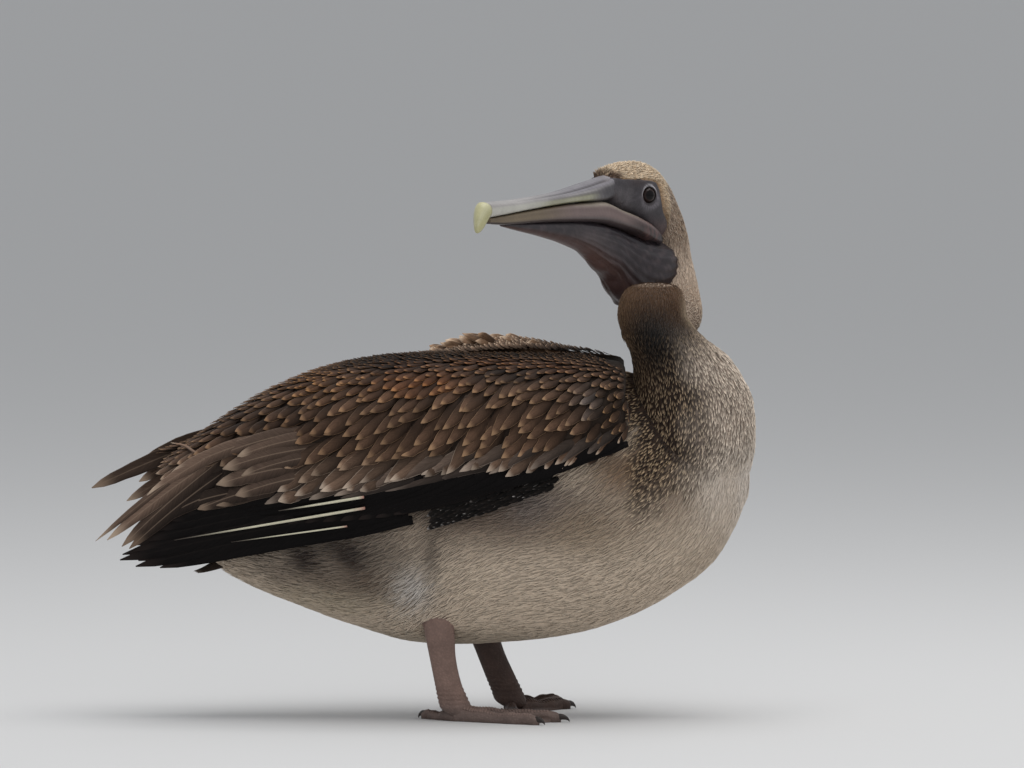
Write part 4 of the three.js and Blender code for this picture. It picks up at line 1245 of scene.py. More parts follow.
def body_map(points, line):
    """An unwrap of the body: how far along a middle line, and how far round it."""
    lengths = np.concatenate([[0], np.cumsum(np.linalg.norm(np.diff(line, axis=0), axis=1))])
    near = np.concatenate([((part[:, None] - line[None]) ** 2).sum(2).argmin(1)
                           for part in np.array_split(points, 1 + len(points) // 4000)])
    ahead = unit(np.gradient(line, axis=0))[near]
    across = unit(np.cross(ahead, np.array([0.31, 0.22, 0.93]) + 0 * ahead))
    away = points - line[near]
    round_it = np.arctan2((away * np.cross(ahead, across)).sum(1), (away * across).sum(1)) / 2 / np.pi + 0.5
    run = lengths[near] + (away * ahead).sum(1)
    run = (run - run.min()) / max(np.ptp(run), 1e-6)
    return np.stack([run, round_it], 1) * 0.98 + 0.01


BAKE_PATCH = 0.003


def lay_coat(name, roots, facing, way, tint, fringe, line, slot, length, width, lift, rows=4, seed=1,
             droop=0.3, vary=0.10, material=down):
    """Makes one piece of coat from its roots and shows it."""
    dice = np.random.default_rng(seed + 1000)
    points, faces, place = tufts(roots, facing, way, length, width, lift, rows, seed, droop)
    each = rows * 3 + 1
    tone = dice.normal(1.0, vary, (len(roots), 1)).clip(0.6, 1.4)
    number = np.repeat(dice.uniform(0, 1, len(roots)), each)
    mesh = mesh_of(name, points, faces)
    add_marks(mesh, vane=np.column_stack([place, number]), tint=np.repeat(tint * tone, each, 0),
              fringe=np.repeat(fringe * tone, each, 0))
    patch = np.column_stack([place[:, 0] * 0.5, place[:, 1] - 0.5]) * BAKE_PATCH
    add_bake_map(mesh, np.repeat(body_map(roots, line), each, 0) + patch)
    return show(name, mesh, material, slot)


# %% Belly, breast and flanks
def under_wing(points):
    """True where a wing hides the body."""
    low = along(WING, np.clip(points[:, 0], -218, 198))[4]
    return (points[:, 0] < 196) & (points[:, 0] > -218) & (points[:, 2] > low + 14)


def on_lower_neck(points):
    upper = (points[:, 2] > 420) | ((points[:, 1] > -34) & (points[:, 2] > 352))
    beside_wing = (points[:, 0] < 194) & (points[:, 2] < 330) & (np.abs(points[:, 1]) < 80)
    return ~upper & ~beside_wing


trunk_line = np.stack([np.linspace(-208, 312, 60), np.zeros(60), np.linspace(170, 225, 60)], 1)
lower_line = np.stack([np.linspace(236, 216, 40), np.linspace(0, -50, 40), np.linspace(196, 418, 40)], 1)
roots, facing = scatter(region_is("trunk"), 3.0, 5)
shown = ~under_wing(roots) & (roots[:, 0] > -212)
trunk_roots, trunk_facing = roots[shown], facing[shown]
roots, facing = scatter(region_is("neck"), 3.0, 6)
shown = on_lower_neck(roots) & (roots[:, 2] < 372)
neck_roots, neck_facing = roots[shown], facing[shown]
way = np.concatenate([lie(trunk_roots, trunk_facing, mirrored(TRUNK_LIE), 62.0),
                      lie(neck_roots, neck_facing, NECK_LIE, 40.0)])
roots, facing = np.concatenate([trunk_roots, neck_roots]), np.concatenate([trunk_facing, neck_facing])
streaked = neck_share(roots) > np.random.default_rng(8).uniform(0.04, 0.5, len(roots))

x = roots[:, 0]
thigh = sum(np.exp(-(((roots - [2, y, 122]) / [30, 30, 34]) ** 2).sum(1)) for y in (50, -50))
ragged = smooth(-60, -150, x)
length = 15 + 6 * thigh + 5 * ragged - 5 * smooth(220, 300, x)
width = 1.75 + 0.3 * ragged - 0.3 * smooth(200, 290, x)
lift = 0.055 + 0.10 * thigh + 0.06 * ragged
tint, fringe = belly_markings(roots)
order = np.argsort(x + 1000 * streaked)[:(~streaked).sum()]
for number, part in enumerate(np.array_split(order, 3)):
    lay_coat(f"belly feathers {number + 1}", roots[part], facing[part], way[part], tint[part], fringe[part],
             trunk_line, "belly_feathers", length[part], width[part], lift[part], 3, 40 + number, vary=0.07)

# %% Breast and lower neck
roots, facing, way = roots[streaked], facing[streaked], way[streaked]
tint, fringe = neck_markings(roots)
z = roots[:, 2]
share = neck_share(roots)
length = 8.5 + 4.0 * (1 - share)
width = 2.1 - 0.5 * np.maximum(1 - share, smooth(350, 372, z))
for number, part in enumerate(np.array_split(np.argsort(z), 2)):
    lay_coat(f"neck feathers {number + 1}", roots[part], facing[part], way[part], tint[part], fringe[part],
             lower_line, "neck_feathers", length[part], width[part], 0.17, 4, 50 + number, vary=0.18,
             material=streaky)
roots, facing = scatter(region_is("neck"), 2.0, 16)
low = on_lower_neck(roots) & (roots[:, 2] > 352)
roots, facing = roots[low], facing[low]
way = lie(roots, facing, NECK_LIE, 40.0)
tint, fringe = neck_markings(roots)
lay_coat("knob feathers", roots, facing, way, tint, fringe, lower_line, "neck_feathers",
         5.5, 0.95, 0.16, 3, 53, vary=0.16)

# %% Upper neck and head
roots, facing = scatter(region_is("neck"), 2.0, 7)
is_upper = ~on_lower_neck(roots) & (roots[:, 2] > 352)
roots, facing = roots[is_upper], facing[is_upper]
near = ((roots[:, None] - neck_line[None, ::3]) ** 2).sum(2).argmin(1) * 3
way = flattened(-unit(np.gradient(neck_line, axis=0))[near], facing)
tint, fringe = upper_neck_markings(roots)
lay_coat("upper neck feathers", roots, facing, way, tint, fringe, neck_line, "pale_feathers",
         7.0, 1.2, 0.10, 4, 61, vary=0.12)

head_line = from_head(np.linspace(-55, 55, 40), 0.0, np.linspace(-5, 10, 40))
roots, facing = scatter(region_is("head"), 1.45, 8)
inside = bareness(roots)
roots, facing, inside = roots[inside < 0], facing[inside < 0], inside[inside < 0]
f, _, u = to_head(roots)
down_share = smooth(-18, -46, f)[:, None] + 0.25
way = flattened(-FORWARD[None] * (1.15 - down_share) - UPWARD[None] * down_share, facing)
tint, fringe = head_markings(roots)
grow = smooth(0, 12, -inside)
lay_coat("head feathers", roots, facing, way, tint, fringe, head_line, "pale_feathers",
         2.6 + 3.2 * grow, 0.75 + 0.3 * grow, 0.22 + 0.16 * grow, 3, 62, vary=0.18)

# %% [markdown]
# ## Vanes
# The feathers of the wing are large enough to be seen one by one. Each is a thin, slightly cupped sheet
# on a curved shaft, round or pointed at its end. A shaft line and the way the body faces under it are
# enough to build the sheet, and thousands are built together. Each vane leaves the wing at its root and
# rises a little towards its tip, so that every row covers the roots of the row behind it like tiles.

# %% The vane maker
def vanes(line, facing, width, point, cup, thick=0.45, wide=5, seed=0, wear=0.05):
    """Sheets on shaft lines of shape (feathers, steps, 3). Point runs from 0, round, to 1, sharp."""
    dice = np.random.default_rng(seed)
    count, steps, _ = line.shape
    s = np.linspace(0, 1, steps) ** 0.8
    ahead = unit(np.gradient(line, axis=1))
    side = unit(np.cross(facing, ahead))
    up = np.cross(ahead, side)
    blunt = np.where(s > 0.66, np.sqrt(np.maximum(1 - ((s - 0.66) / 0.34) ** 2, 0.004)), 1.0)
    sharp = np.where(s > 0.42, np.maximum(1 - ((s - 0.42) / 0.58) ** 1.7, 0.03), 1.0)
    point = np.broadcast_to(point, count)[:, None]
    outline = (blunt * (1 - point) + sharp * point) * (0.5 + 0.5 * smooth(0, 0.35, s))
    outline = outline * (1 + dice.normal(0, wear, (count, steps)) * smooth(0.3, 0.8, s))
    half = np.broadcast_to(width, count)[:, None] * outline / 2
    w = np.linspace(-1, 1, wide)
    across = w[None, None] * half[..., None]
    sink = -np.asarray(cup).reshape(-1, 1, 1) * np.abs(w[None, None]) ** 1.7 * half[..., None]
    top = line[:, :, None] + side[:, :, None] * across[..., None] + up[:, :, None] * sink[..., None]
    edge_thin = (1 - 0.75 * np.abs(w) ** 2)[None, None, :, None] * thick
    points, faces = slabs(top, top - up[:, :, None] * edge_thin)
    grid = np.stack(np.broadcast_arrays(w[None], s[:, None]), -1).reshape(-1, 2)
    place = np.concatenate([grid, grid])
    return points, faces, np.tile(place, (count, 1)), 2 * steps * wide


def shelf_map(across, around, count):
    """One cell of the map for each feather, in the order that the roots lie on the wing."""
    rows = int(math.ceil(math.sqrt(count)))
    order = np.argsort(around)
    cell = np.empty((count, 2))
    for row, part in enumerate(np.array_split(order, rows)):
        part = part[np.argsort(across[part])]
        cell[part, 0] = (np.arange(len(part)) + 0.5) / (len(part) + 0.01)
        cell[part, 1] = (row + 0.5) / rows
    return cell, rows


def lay_vanes(name, line, facing, width, point, cup, tint, fringe, material, slot, nodes=(), places=None,
              wide=5, seed=1, vary=0.08, thick=0.45, wear=0.05):
    """Makes one piece of vanes and shows it. Its bake map has a cell for each, placed as the roots are."""
    dice = np.random.default_rng(seed + 500)
    points, faces, place, each = vanes(line, facing, width, point, cup, thick, wide, seed, wear)
    count = len(line)
    tone = dice.normal(1.0, vary, (count, 1)).clip(0.6, 1.4)
    mesh = mesh_of(name, points, faces)
    number = np.repeat(dice.uniform(0, 1, count), each)
    # the side of the bird that the roots lie on tells which edge of each feather hangs low
    place[:, 0] *= -np.sign((line[:, 0, 1] - facing[:, 0, 1]).mean() or 1.0)
    add_marks(mesh, vane=np.column_stack([place, number]), tint=np.repeat(tint * tone, each, 0),
              fringe=np.repeat(fringe * tone, each, 0))
    cell, rows = shelf_map(*(places or (line[:, 0, 0], line[:, 0, 2])), count)
    patch = np.column_stack([place[:, 0] * 0.46, (place[:, 1] - 0.5) * 0.92]) / rows
    add_bake_map(mesh, np.repeat(cell, each, 0) + patch)
    return show(name, mesh, material, slot, *nodes)


# %% [markdown]
# ## Coverts in rows
# The coverts lie in loose rows along the wing. The rows are counted in true millimetres over the curved
# surface, close together on the back, where the feathers are tiny, and wider down the side. A root is
# placed at each step of a row, with every second row shifted by half a step and all a little out of
# true, as on a bird that has just shaken itself. The shaft then walks over the wing's own surface.

# %% Rows of coverts
WING_REAR, WING_FRONT, WING_PLACES = -306, 198, 85
WING_SHARES = np.linspace(0, 1.15, 140)


def wing_table(side):
    """For places along the wing, the length over its surface at every share of the way round."""
    x = np.linspace(WING_REAR, WING_FRONT, WING_PLACES)
    surface = on_wing(side, x[:, None], WING_SHARES[None])
    steps = np.linalg.norm(np.diff(surface, axis=1), axis=2)
    return np.concatenate([np.zeros((WING_PLACES, 1)), np.cumsum(steps, 1)], 1)


WING_TABLES = {side: wing_table(side) for side in (-1, 1)}


def share_at(side, x, length):
    """The share of the way round that lies a given length down the surface."""
    step = (WING_FRONT - WING_REAR) / (WING_PLACES - 1)
    index = np.clip(np.round((np.asarray(x) - WING_REAR) / step).astype(int), 0, WING_PLACES - 1)
    return np.array([np.interp(want, WING_TABLES[side][i], WING_SHARES) for i, want in zip(index, length)])


def share_at_height(side, x, z):
    """The share of the way round where the wing passes a height."""
    heights = np.minimum.accumulate(on_wing(side, np.asarray(x)[:, None], WING_SHARES[None])[..., 2], 1)
    return np.array([np.interp(-want, -row, WING_SHARES) for want, row in zip(np.asarray(z, float), heights)])


# millimetres down the wing: a covert's length and width, and the step to the next row
COVERT_SIZES = {0: (8.5, 4.6), 20: (11, 5.6), 38: (16, 7.4), 60: (25, 9.8), 90: (36, 11.8), 130: (46, 13.4),
                220: (50, 14)}
ROW_STEPS = {0: (3.6,), 30: (5.0,), 60: (9,), 90: (12.5,), 130: (16,), 220: (16,)}
# place along the bird: degrees down from level, and the height of the last row's tips
COVERT_SLOPES = {-240: (20,), -150: (26,), -60: (36,), 10: (48,), 80: (54,), 130: (46,), 196: (36,)}
COVERT_EDGE = {-232: (212,), -200: (206,), -151: (210,), -90: (219,), -23: (230,), 40: (237,), 85: (239,),
               110: (242,), 150: (250,), 176: (262,), 198: (276,)}


def covert_sizes(down, x):
    """Length and width of a covert, by how far down the wing it lies and how far along, in millimetres."""
    length, width = along(COVERT_SIZES, down)
    size = 1 - 0.34 * smooth(86, 150, x) - 0.26 * smooth(150, 186, x) + 0.14 * smooth(-50, -150, x)
    size = size + 0.55 * smooth(-90, -150, x) * smooth(72, 30, down)
    return length * size, width * (0.4 + 0.6 * size)


def covert_roots(seed):
    """Rows of roots, each row's steps set by the feathers that stand in it."""
    dice = np.random.default_rng(seed)
    places, down, row = [], 1.0, 0
    while down < 200:
        x = 196.0 + 6.0 * (row % 2)
        while x > -238:
            length, width = covert_sizes(np.array([down]), np.array([x]))
            if x > -110 or row % 2 == 0 or down > 60:
                places.append((x + dice.normal(0, width[0] * 0.13), down * (1 + 0.10 * smooth(-60, -160, x))
                               + dice.normal(0, length[0] * 0.05)))
            x -= width[0] * 1.04
        down += along(ROW_STEPS, np.array([down]))[0][0]
        row += 1
    places = np.array(places)
    return places[(places[:, 0] < 197) & (places[:, 0] > -240) & (places[:, 1] > 0)].T


def covert_lean(x, down, dice):
    """How steeply a covert points down from level, in radians."""
    steep = along(COVERT_SLOPES, x)[0]
    steep = steep - 22 * smooth(64, 14, down)
    return np.radians(steep + dice.normal(0, 5.5, len(x)))


def walk_shafts(side, x, t, lean, length, lift, steps, dice, curl):
    """Shaft lines that step over the wing surface. They curl back and rise a little towards their tips."""
    s = np.linspace(0, 1, steps) ** 0.8
    bend = curl + dice.normal(0, 0.08, len(x))
    line_x, line_t = np.empty((2, len(x), steps))
    for i in range(steps):
        line_x[:, i], line_t[:, i] = x, t
        if i == steps - 1:
            break
        step = (s[i + 1] - s[i]) * length
        slope = lean + bend * (0.5 - s[i])
        by_x = (on_wing(side, x + 1.0, t) - on_wing(side, x - 1.0, t)) / 2.0
        by_t = (on_wing(side, x, t + 0.01) - on_wing(side, x, t - 0.01)) / 0.02
        down = unit(by_t)
        slant = (by_x * down).sum(1)
        x_step = -step * np.cos(slope) / np.sqrt(np.maximum((by_x**2).sum(1) - slant**2, 0.05))
        t = t + (step * np.sin(slope) - x_step * slant) / np.linalg.norm(by_t, axis=1)
        x, t = x + x_step, np.clip(t, 0.0, 1.12)
    surface = on_wing(side, line_x, line_t)
    facing = wing_facing(side, line_x, line_t)
    rise = -2.4 + lift[:, None] * s + dice.normal(0, 0.3, len(x))[:, None]
    return surface + facing * rise[..., None], facing


COVERT_WASHES = (
    # place along the bird and height, reach along and up, middle colour, fringe colour, strength
    ((-30, 336), (60, 15), (26, 17, 13), (112, 80, 56), 0.95),
    ((-8, 316), (46, 10), (92, 56, 32), (160, 108, 66), 0.95),
    ((78, 333), (78, 8), (84, 52, 32), (144, 98, 62), 0.95),
    ((80, 322), (36, 6), (24, 18, 16), (104, 82, 62), 0.85),
    ((150, 302), (11, 12), (104, 100, 99), (150, 146, 142), 0.80),
    ((176, 292), (20, 22), (66, 49, 36), (158, 122, 82), 0.80),
    ((-110, 322), (44, 16), (92, 60, 36), (176, 126, 76), 0.80),
    ((-150, 280), (62, 32), (50, 35, 26), (116, 86, 62), 0.85),
    # painted shadow: a near-black strip down the wing's front edge, where the neck lies over it
    ((197, 300), (4.5, 60), (20, 16, 14), (44, 34, 27), 0.95),
)


def covert_markings(side, x, z, down):
    patchy = 1 + 0.3 * cloudy(np.column_stack([x, z, 0 * x]), 30, 9)
    low = smooth(262, 240, z)
    tint = washed(colour(94, 71, 56), ((110, 90, 76), low * 0.7))
    fringe = washed(colour(160, 128, 98), ((184, 162, 142), low * 0.8))
    for (mx, mz), (rx, rz), own, edge, strength in COVERT_WASHES:
        share = np.clip(np.exp(-(((x - mx) / rx) ** 2 + ((z - mz) / rz) ** 2)) * strength * patchy, 0, 1)
        tint, fringe = washed(tint, (own, share)), washed(fringe, (edge, share))
    spine = smooth(40, 18, down) * smooth(-120, -50, x)
    worn = hump(x, 70, 56) * smooth(64, 30, down) * (side > 0)
    return (washed(tint, ((22, 16, 13), spine * 0.95), ((120, 97, 80), worn)),
            washed(fringe, ((92, 70, 54), spine * 0.8), ((200, 176, 152), worn)))


WING_NAMES = {-1: "right", 1: "left"}


def lay_coverts(side):
    dice = np.random.default_rng(70 + side)
    x, down = covert_roots(80 + side)
    t = share_at(side, x, down)
    z = on_wing(side, x, t)[:, 2]
    length, width = covert_sizes(down, x)
    length, width = length * dice.uniform(0.9, 1.1, len(x)), width * dice.uniform(0.9, 1.12, len(x))
    lean = covert_lean(x, down, dice)
    edge = along(COVERT_EDGE, np.clip(x - length * np.cos(lean), -232, 198))[0] + dice.normal(0, 2.0, len(x))
    over = z - length * np.sin(lean) - edge
    last = (over < 9) & (over > -9)
    length = np.where(last, length + np.clip(over, -9, 9) / np.sin(lean), length)
    hidden = (x < -104) & (z < 284 + 0.35 * (x + 104))
    loose = (x > 188) & (down < 44) & (side > 0)
    keep = (over > -9) & (t < 1.0) & (length > 6) & ~hidden & ~loose
    x, down, t, z, length, width, lean, last = (v[keep] for v in (x, down, t, z, length, width, lean, last))
    shown = 0.75 * length
    tint, fringe = covert_markings(side, x - shown * np.cos(lean), z - shown * np.sin(lean), down)
    fringe = washed(fringe, ((196, 180, 164), last * 0.6))
    point = 0.30 + 0.40 * smooth(50, 100, down) * smooth(-140, -20, x)
    curl = 0.15 + 0.5 * smooth(40, 90, down) * smooth(-140, 20, x)
    small = down < 40
    for label, part, steps in (("small coverts", small, 6), ("large coverts", ~small, 9)):
        line, facing = walk_shafts(side, x[part], t[part], lean[part], length[part],
                                   2.6 + 0.05 * length[part], steps, dice, curl[part])
        lay_vanes(f"{label} {WING_NAMES[side]}", line, facing, width[part], point[part], 0.24, tint[part],
                  fringe[part], covert, "wing_feathers", places=(x[part], t[part]), seed=90 + side, vary=0.19)


for side in (-1, 1):
    lay_coverts(side)

# %% [markdown]
# ## Flight feathers, tertials and tail
# Under the coverts the long black flight feathers are stacked like a shut fan. The front ones show only
# their lower edges, the rear ones end in the stepped points behind the tail, and three of them show a bright
# white shaft. At the wing's end the long soft tertials lie over them, worn and pale at their edges.
# These few are listed: a row for each says where its root and its tip lie, seen from the side.

# %% Long feathers, listed one by one
# place along the bird: upper edge, lower edge, distance from its middle
FLIGHT = {
    140: (262, 248, 104), 128: (252, 240, 103), 84: (240, 210, 104), 14: (230, 189, 101), -75: (224, 180, 90),
    -136: (221, 169, 73), -202: (213, 157, 53), -255: (191, 150, 44), -300: (170, 148, 38),
}


def beside(side, x, z, layer):
    """A place on the flank of the wing, seen from the side, and a layer's depth outside it."""
    out = along(FLIGHT, np.clip(x, -300, 140))[2]
    shape = out.shape
    place = np.clip(x, -304, 196).ravel()
    t = np.clip(share_at_height(-1, place, z.ravel()), 0, 1.0)
    on_surface = np.abs(on_wing(-1, place, t)[:, 1]).reshape(shape)
    out = np.maximum(out, on_surface - 1.6)
    return np.stack([x, side * (out + layer), z], -1)


def long_shafts(side, rows, steps=12, surface=beside, sag=0.0, root_sink=0.0):
    """Shaft lines from rows of root place, tip place and layer."""
    rows = np.array(rows, float)
    s = np.linspace(0, 1, steps)[None]
    x = rows[:, 0:1] + (rows[:, 2:3] - rows[:, 0:1]) * s
    z = rows[:, 1:2] + (rows[:, 3:4] - rows[:, 1:2]) * s - sag * np.sin(np.pi * s)
    line = surface(side, x, z, rows[:, 4:5] - root_sink * smooth(0.42, 0.0, s))
    facing = np.zeros_like(line)
    facing[..., 1] = side
    facing[..., 2] = 0.12
    return line, unit(facing)


def flight_rows():
    """Secondaries from front to back, then the stepped primaries that make the wing's point."""
    rows = []
    for i in range(13):
        step = i / 12
        x = 142 - 190 * step
        z = along(FLIGHT, np.array([np.clip(x - 70, -300, 140)]))[1][0] + 8
        root_z = along(COVERT_EDGE, np.array([x]))[0][0] + 3
        rows.append((x, root_z, x - 120 - 10 * step, z, 1.6 - 1.8 * step))
    for x, z, root_x, root_z in ((-224, 151, -10, 194), (-250, 145, -14, 198), (-273, 146, -20, 202),
                                 (-288, 152, -26, 206)):
        rows.append((root_x, root_z, x, z, -0.6 - 0.012 * (x + 222)))
    rows += [(-30, 214, -276, 161, -0.4), (-40, 219, -266, 171, -0.3), (-50, 222, -256, 181, -0.2),
             (-60, 225, -246, 190, -0.1), (-70, 228, -232, 198, 0.0), (-80, 230, -214, 206, 0.1)]
    rows += [(193, 266, 122, 238, 1.8), (188, 270, 96, 232, 1.6), (180, 268, 70, 226, 1.4)]
    return rows


for side in (-1, 1):
    rows = flight_rows()
    line, facing = long_shafts(side, rows, 16, sag=-3.0)
    width = [21.0] * 13 + [17.0, 20.0, 21.0, 20.0] + [20.0] * 6 + [11.0, 15.0, 17.0]
    lay_vanes(f"flight feathers {WING_NAMES[side]}", line, facing, width, np.repeat((0.45, 0.30), 13), 0.10,
              colour(17, 14, 14), colour(40, 33, 31), flight, "quills",
              (f"flight_feathers_{WING_NAMES[side]}",), wide=7, seed=120 + side, vary=0.06, thick=0.6,
              wear=0.02)

# %% [markdown]
# ## Bare quills
# Where the wing's long feathers are a little apart, three of their quills lie open as bright ivory lines
# on the black. A quill is a round horny tube that tapers towards its feather's tip and is flesh coloured
# where it comes out of the skin. Rings round three straight lines are all it needs.

# %% Bare quills
QUILLS = (
    # root along, root height, tip along, tip height, thickness
    (-56, 215.5, -137, 201, 1.35), (-55, 205, -236, 171.5, 1.35), (-72, 187.5, -182, 170.5, 0.8),
)
quill_finish = hide_finish("ivory quill", 0.45, 0.05, 900.0, 60.0, 0.1, specular=0.3)
shapes, tints = [], []
for side in (-1, 1):
    line, _ = long_shafts(side, [(*row[:4], 3.2) for row in QUILLS], 30)
    for one, thick in zip(line, (row[4] for row in QUILLS)):
        s = np.linspace(0, 1, 30)
        shapes.append(shell(tube_rings(one, thick * (1 - 0.75 * s**2), 10)))
        place = np.concatenate([np.repeat(s, 10), [0, 1]])
        tints.append(washed(colour(214, 208, 184), ((176, 130, 116), smooth(0.06, 0.0, place)),
                            ((74, 66, 60), smooth(0.55, 0.98, place))))


def gathered(shapes):
    """Several closed shapes as one list of points and faces."""
    starts = np.cumsum([0] + [len(shape[0]) for shape in shapes])
    points = np.concatenate([shape[0] for shape in shapes])
    faces = [np.concatenate([shape[1][kind] + start for shape, start in zip(shapes, starts)])
             for kind in range(len(shapes[0][1]))]
    return points, faces


show_painted("bare quills", gathered(shapes), np.concatenate(tints), quill_finish, "quills")

# %% Greater coverts along the lower edge
GREATER_COVERTS = (
    # root along, root height, tip along, tip height, layer, width, paleness
    (92, 254, 4, 231, 1.0, 13, 0.2), (60, 246, -36, 221, 0.9, 13, 0.2), (24, 240, -78, 214, 0.8, 12, 0.1),
    (92, 266, 34, 240, 2.6, 13, 0.9), (60, 264, -2, 237, 2.4, 14, 1.0), (34, 258, -32, 230, 2.3, 14, 1.0),
    (8, 250, -60, 222, 2.2, 14, 0.9), (-18, 243, -84, 216, 2.1, 14, 0.8), (-44, 238, -108, 212, 2.0, 14, 0.6),
    (-72, 234, -134, 209, 1.9, 14, 0.7), (-98, 230, -150, 207, 1.8, 14, 0.5),
    (118, 268, 62, 238, 2.6, 11, 0.6), (146, 270, 98, 241, 2.6, 11, 0.5),
    (168, 276, 126, 247, 2.4, 10, 0.3), (186, 280, 152, 255, 2.2, 9, 0.2),
)
for side in (-1, 1):
    rows = np.array(GREATER_COVERTS)
    line, facing = long_shafts(side, rows[:, :5], 12, beside, -2.0, 3.0)
    pale = rows[:, 6]
    lay_vanes(f"greater coverts {WING_NAMES[side]}", line, facing, rows[:, 5], 0.5, 0.20,
              washed(colour(64, 56, 52), ((112, 95, 84), pale)),
              washed(colour(86, 76, 70), ((186, 168, 152), pale)), covert, "wing_feathers", wide=7,
              seed=170 + side, vary=0.06, thick=0.5, wear=0.04)

# %% Small dotted coverts under the wing's front
for side in (-1, 1):
    dice = np.random.default_rng(33)
    across, down = np.meshgrid(np.arange(0, 112, 6.4), np.arange(-9, 16, 4.6))
    across = across + np.arange(len(down))[:, None] % 2 * 3.2
    x = across.ravel() + 8 + dice.normal(0, 0.9, across.size)
    z = 194 + (x - 11) * 0.37 + down.ravel() * (0.7 + 0.3 * smooth(20, 60, x))
    z = z + dice.normal(0, 0.6, across.size)
    rows = np.column_stack([x + 6, z + 4.0, x - 5, z - 2.0, np.full(len(x), 0.5) + 0.05 * down.ravel()])
    line, facing = long_shafts(side, rows, 4)
    fringe = washed(colour(44, 38, 36), ((206, 200, 196), dice.uniform(0, 1, len(rows)) ** 5))
    lay_vanes(f"dotted coverts {WING_NAMES[side]}", line, facing, 6.4, 0.3, 0.12, colour(24, 20, 18), fringe,
              covert, "wing_feathers", places=(x, z), wide=3, seed=150 + side, vary=0.2, thick=0.4)

# %% Tertials, in layers
TERTIALS = {
    # root along, root height, tip along, tip height, layer, width, darkness, point
    -1: ((-120, 228, -196, 205, 0.6, 17, 0.75, 0.3), (-140, 224, -214, 201, 0.9, 17, 0.8, 0.3),
         (-162, 221, -246, 197, 1.1, 16, 0.9, 0.4), (-182, 222, -262, 184, 1.3, 15, 0.95, 0.4),
         (-98, 236, -178, 215, 1.7, 17, 0.65, 0.1), (-104, 246, -196, 225, 2.1, 17, 0.60, 0.1),
         (-98, 254, -172, 234, 2.2, 15, 0.60, 0.2), (-100, 262, -190, 240, 2.4, 16, 0.55, 0.2),
         (-100, 272, -176, 252, 2.6, 15, 0.50, 0.2), (-108, 278, -204, 249, 2.9, 16, 0.55, 0.3),
         (-190, 236, -279, 163, 2.0, 15, 0.90, 0.4), (-192, 248, -286, 165, 2.5, 16, 0.75, 0.45),
         (-190, 254, -300, 171, 3.4, 15, 0.15, 0.5), (-200, 256, -311, 170, 3.9, 9, 0.45, 0.75),
         (-170, 268, -262, 214, 4.2, 13, 0.05, 0.3), (-150, 270, -240, 234, 4.4, 14, 0.25, 0.2),
         (-210, 250, -240, 263, 4.6, 2.6, -0.5, 0.8)),
    1: ((-120, 242, -196, 222, 0.6, 17, 0.5, 0.3), (-140, 240, -214, 218, 0.9, 17, 0.5, 0.3),
        (-162, 240, -246, 216, 1.1, 16, 0.6, 0.4), (-182, 246, -266, 208, 1.3, 15, 0.7, 0.4),
        (-146, 252, -206, 236, 1.9, 16, 0.30, 0.1), (-154, 262, -219, 244, 2.3, 17, 0.20, 0.1),
        (-196, 246, -284, 203, 1.6, 14, 0.35, 0.3), (-200, 256, -272, 222, 2.0, 14, 0.50, 0.3),
        (-186, 268, -317, 216, 2.6, 17, 0.70, 0.35), (-196, 270, -268, 243, 3.0, 12, 0.60, 0.3)),
}


def beside_wing(side, x, z, layer):
    """The outside of the wing at a height, where the wing ends in its long soft feathers."""
    flat = np.broadcast_arrays(x, z)
    shape = flat[0].shape
    place = np.clip(flat[0].ravel(), -304, 196)
    t = share_at_height(-1, place, flat[1].ravel())
    y = np.abs(on_wing(-1, place, np.clip(t, 0.0, 1.0))[:, 1]).reshape(shape)
    return np.stack([flat[0], side * (np.maximum(y, 30) + 0.6 + layer), flat[1]], -1)


for side in (-1, 1):
    rows = np.array(TERTIALS[side])
    line, facing = long_shafts(side, rows[:, :5], 14, beside_wing, -3.0, 7.0)
    tint = washed(colour(124, 102, 88), ((34, 27, 24), rows[:, 6]))
    fringe = washed(colour(204, 182, 160), ((112, 91, 75), rows[:, 6]))
    lay_vanes(f"tertials {WING_NAMES[side]}", line, facing, rows[:, 5], rows[:, 7], 0.30, tint, fringe,
              long_vane, "wing_feathers", (f"tertials_{WING_NAMES[side]}",), wide=9, seed=130 + side,
              vary=0.05, thick=0.5)

# %% [markdown]
# ## Ruffled scapulars
# Along the far side of the back some long soft shoulder feathers stand up from the line of the wing, pale
# and worn. They are vanes like the others, only with a larger lift and more scatter.

# %% Ruffled scapulars
dice = np.random.default_rng(17)
count = 60
x = np.sort(dice.uniform(24, 162, count))
rows = np.column_stack([x, dice.uniform(20, 50, count)])
bump = hump(x, 82, 52)
root = np.column_stack([x, rows[:, 1], 340 + 6 * bump + dice.uniform(-3, 2, count) - 4 * smooth(120, 160, x)])
reach = dice.uniform(20, 40, count) * (0.45 + 0.55 * bump)
tip = root + np.column_stack([-reach, dice.normal(0, 5, count), 3 + (7 + 9 * dice.random(count)) * bump])
s = np.linspace(0, 1, 8)[None, :, None]
line = root[:, None] * (1 - s) + tip[:, None] * s
line[..., 2] += 3.0 * np.sin(np.pi * s[..., 0]) * bump[:, None]
facing = unit(np.column_stack([dice.normal(0, 0.2, count), -0.9 + 0 * x, 0.6 + dice.normal(0, 0.25, count)]))
light = np.maximum(dice.uniform(0, 1, count), smooth(110, 150, x))
lay_vanes("ruffled scapulars", line, np.repeat(facing[:, None], 8, 1), dice.uniform(8, 12, count), 0.35, 0.3,
          washed(colour(164, 132, 106), ((96, 72, 54), light)),
          washed(colour(226, 204, 180), ((172, 140, 112), light)), covert, "wing_feathers",
          places=(x, rows[:, 1]), seed=160, vary=0.1, thick=0.5, wear=0.10)

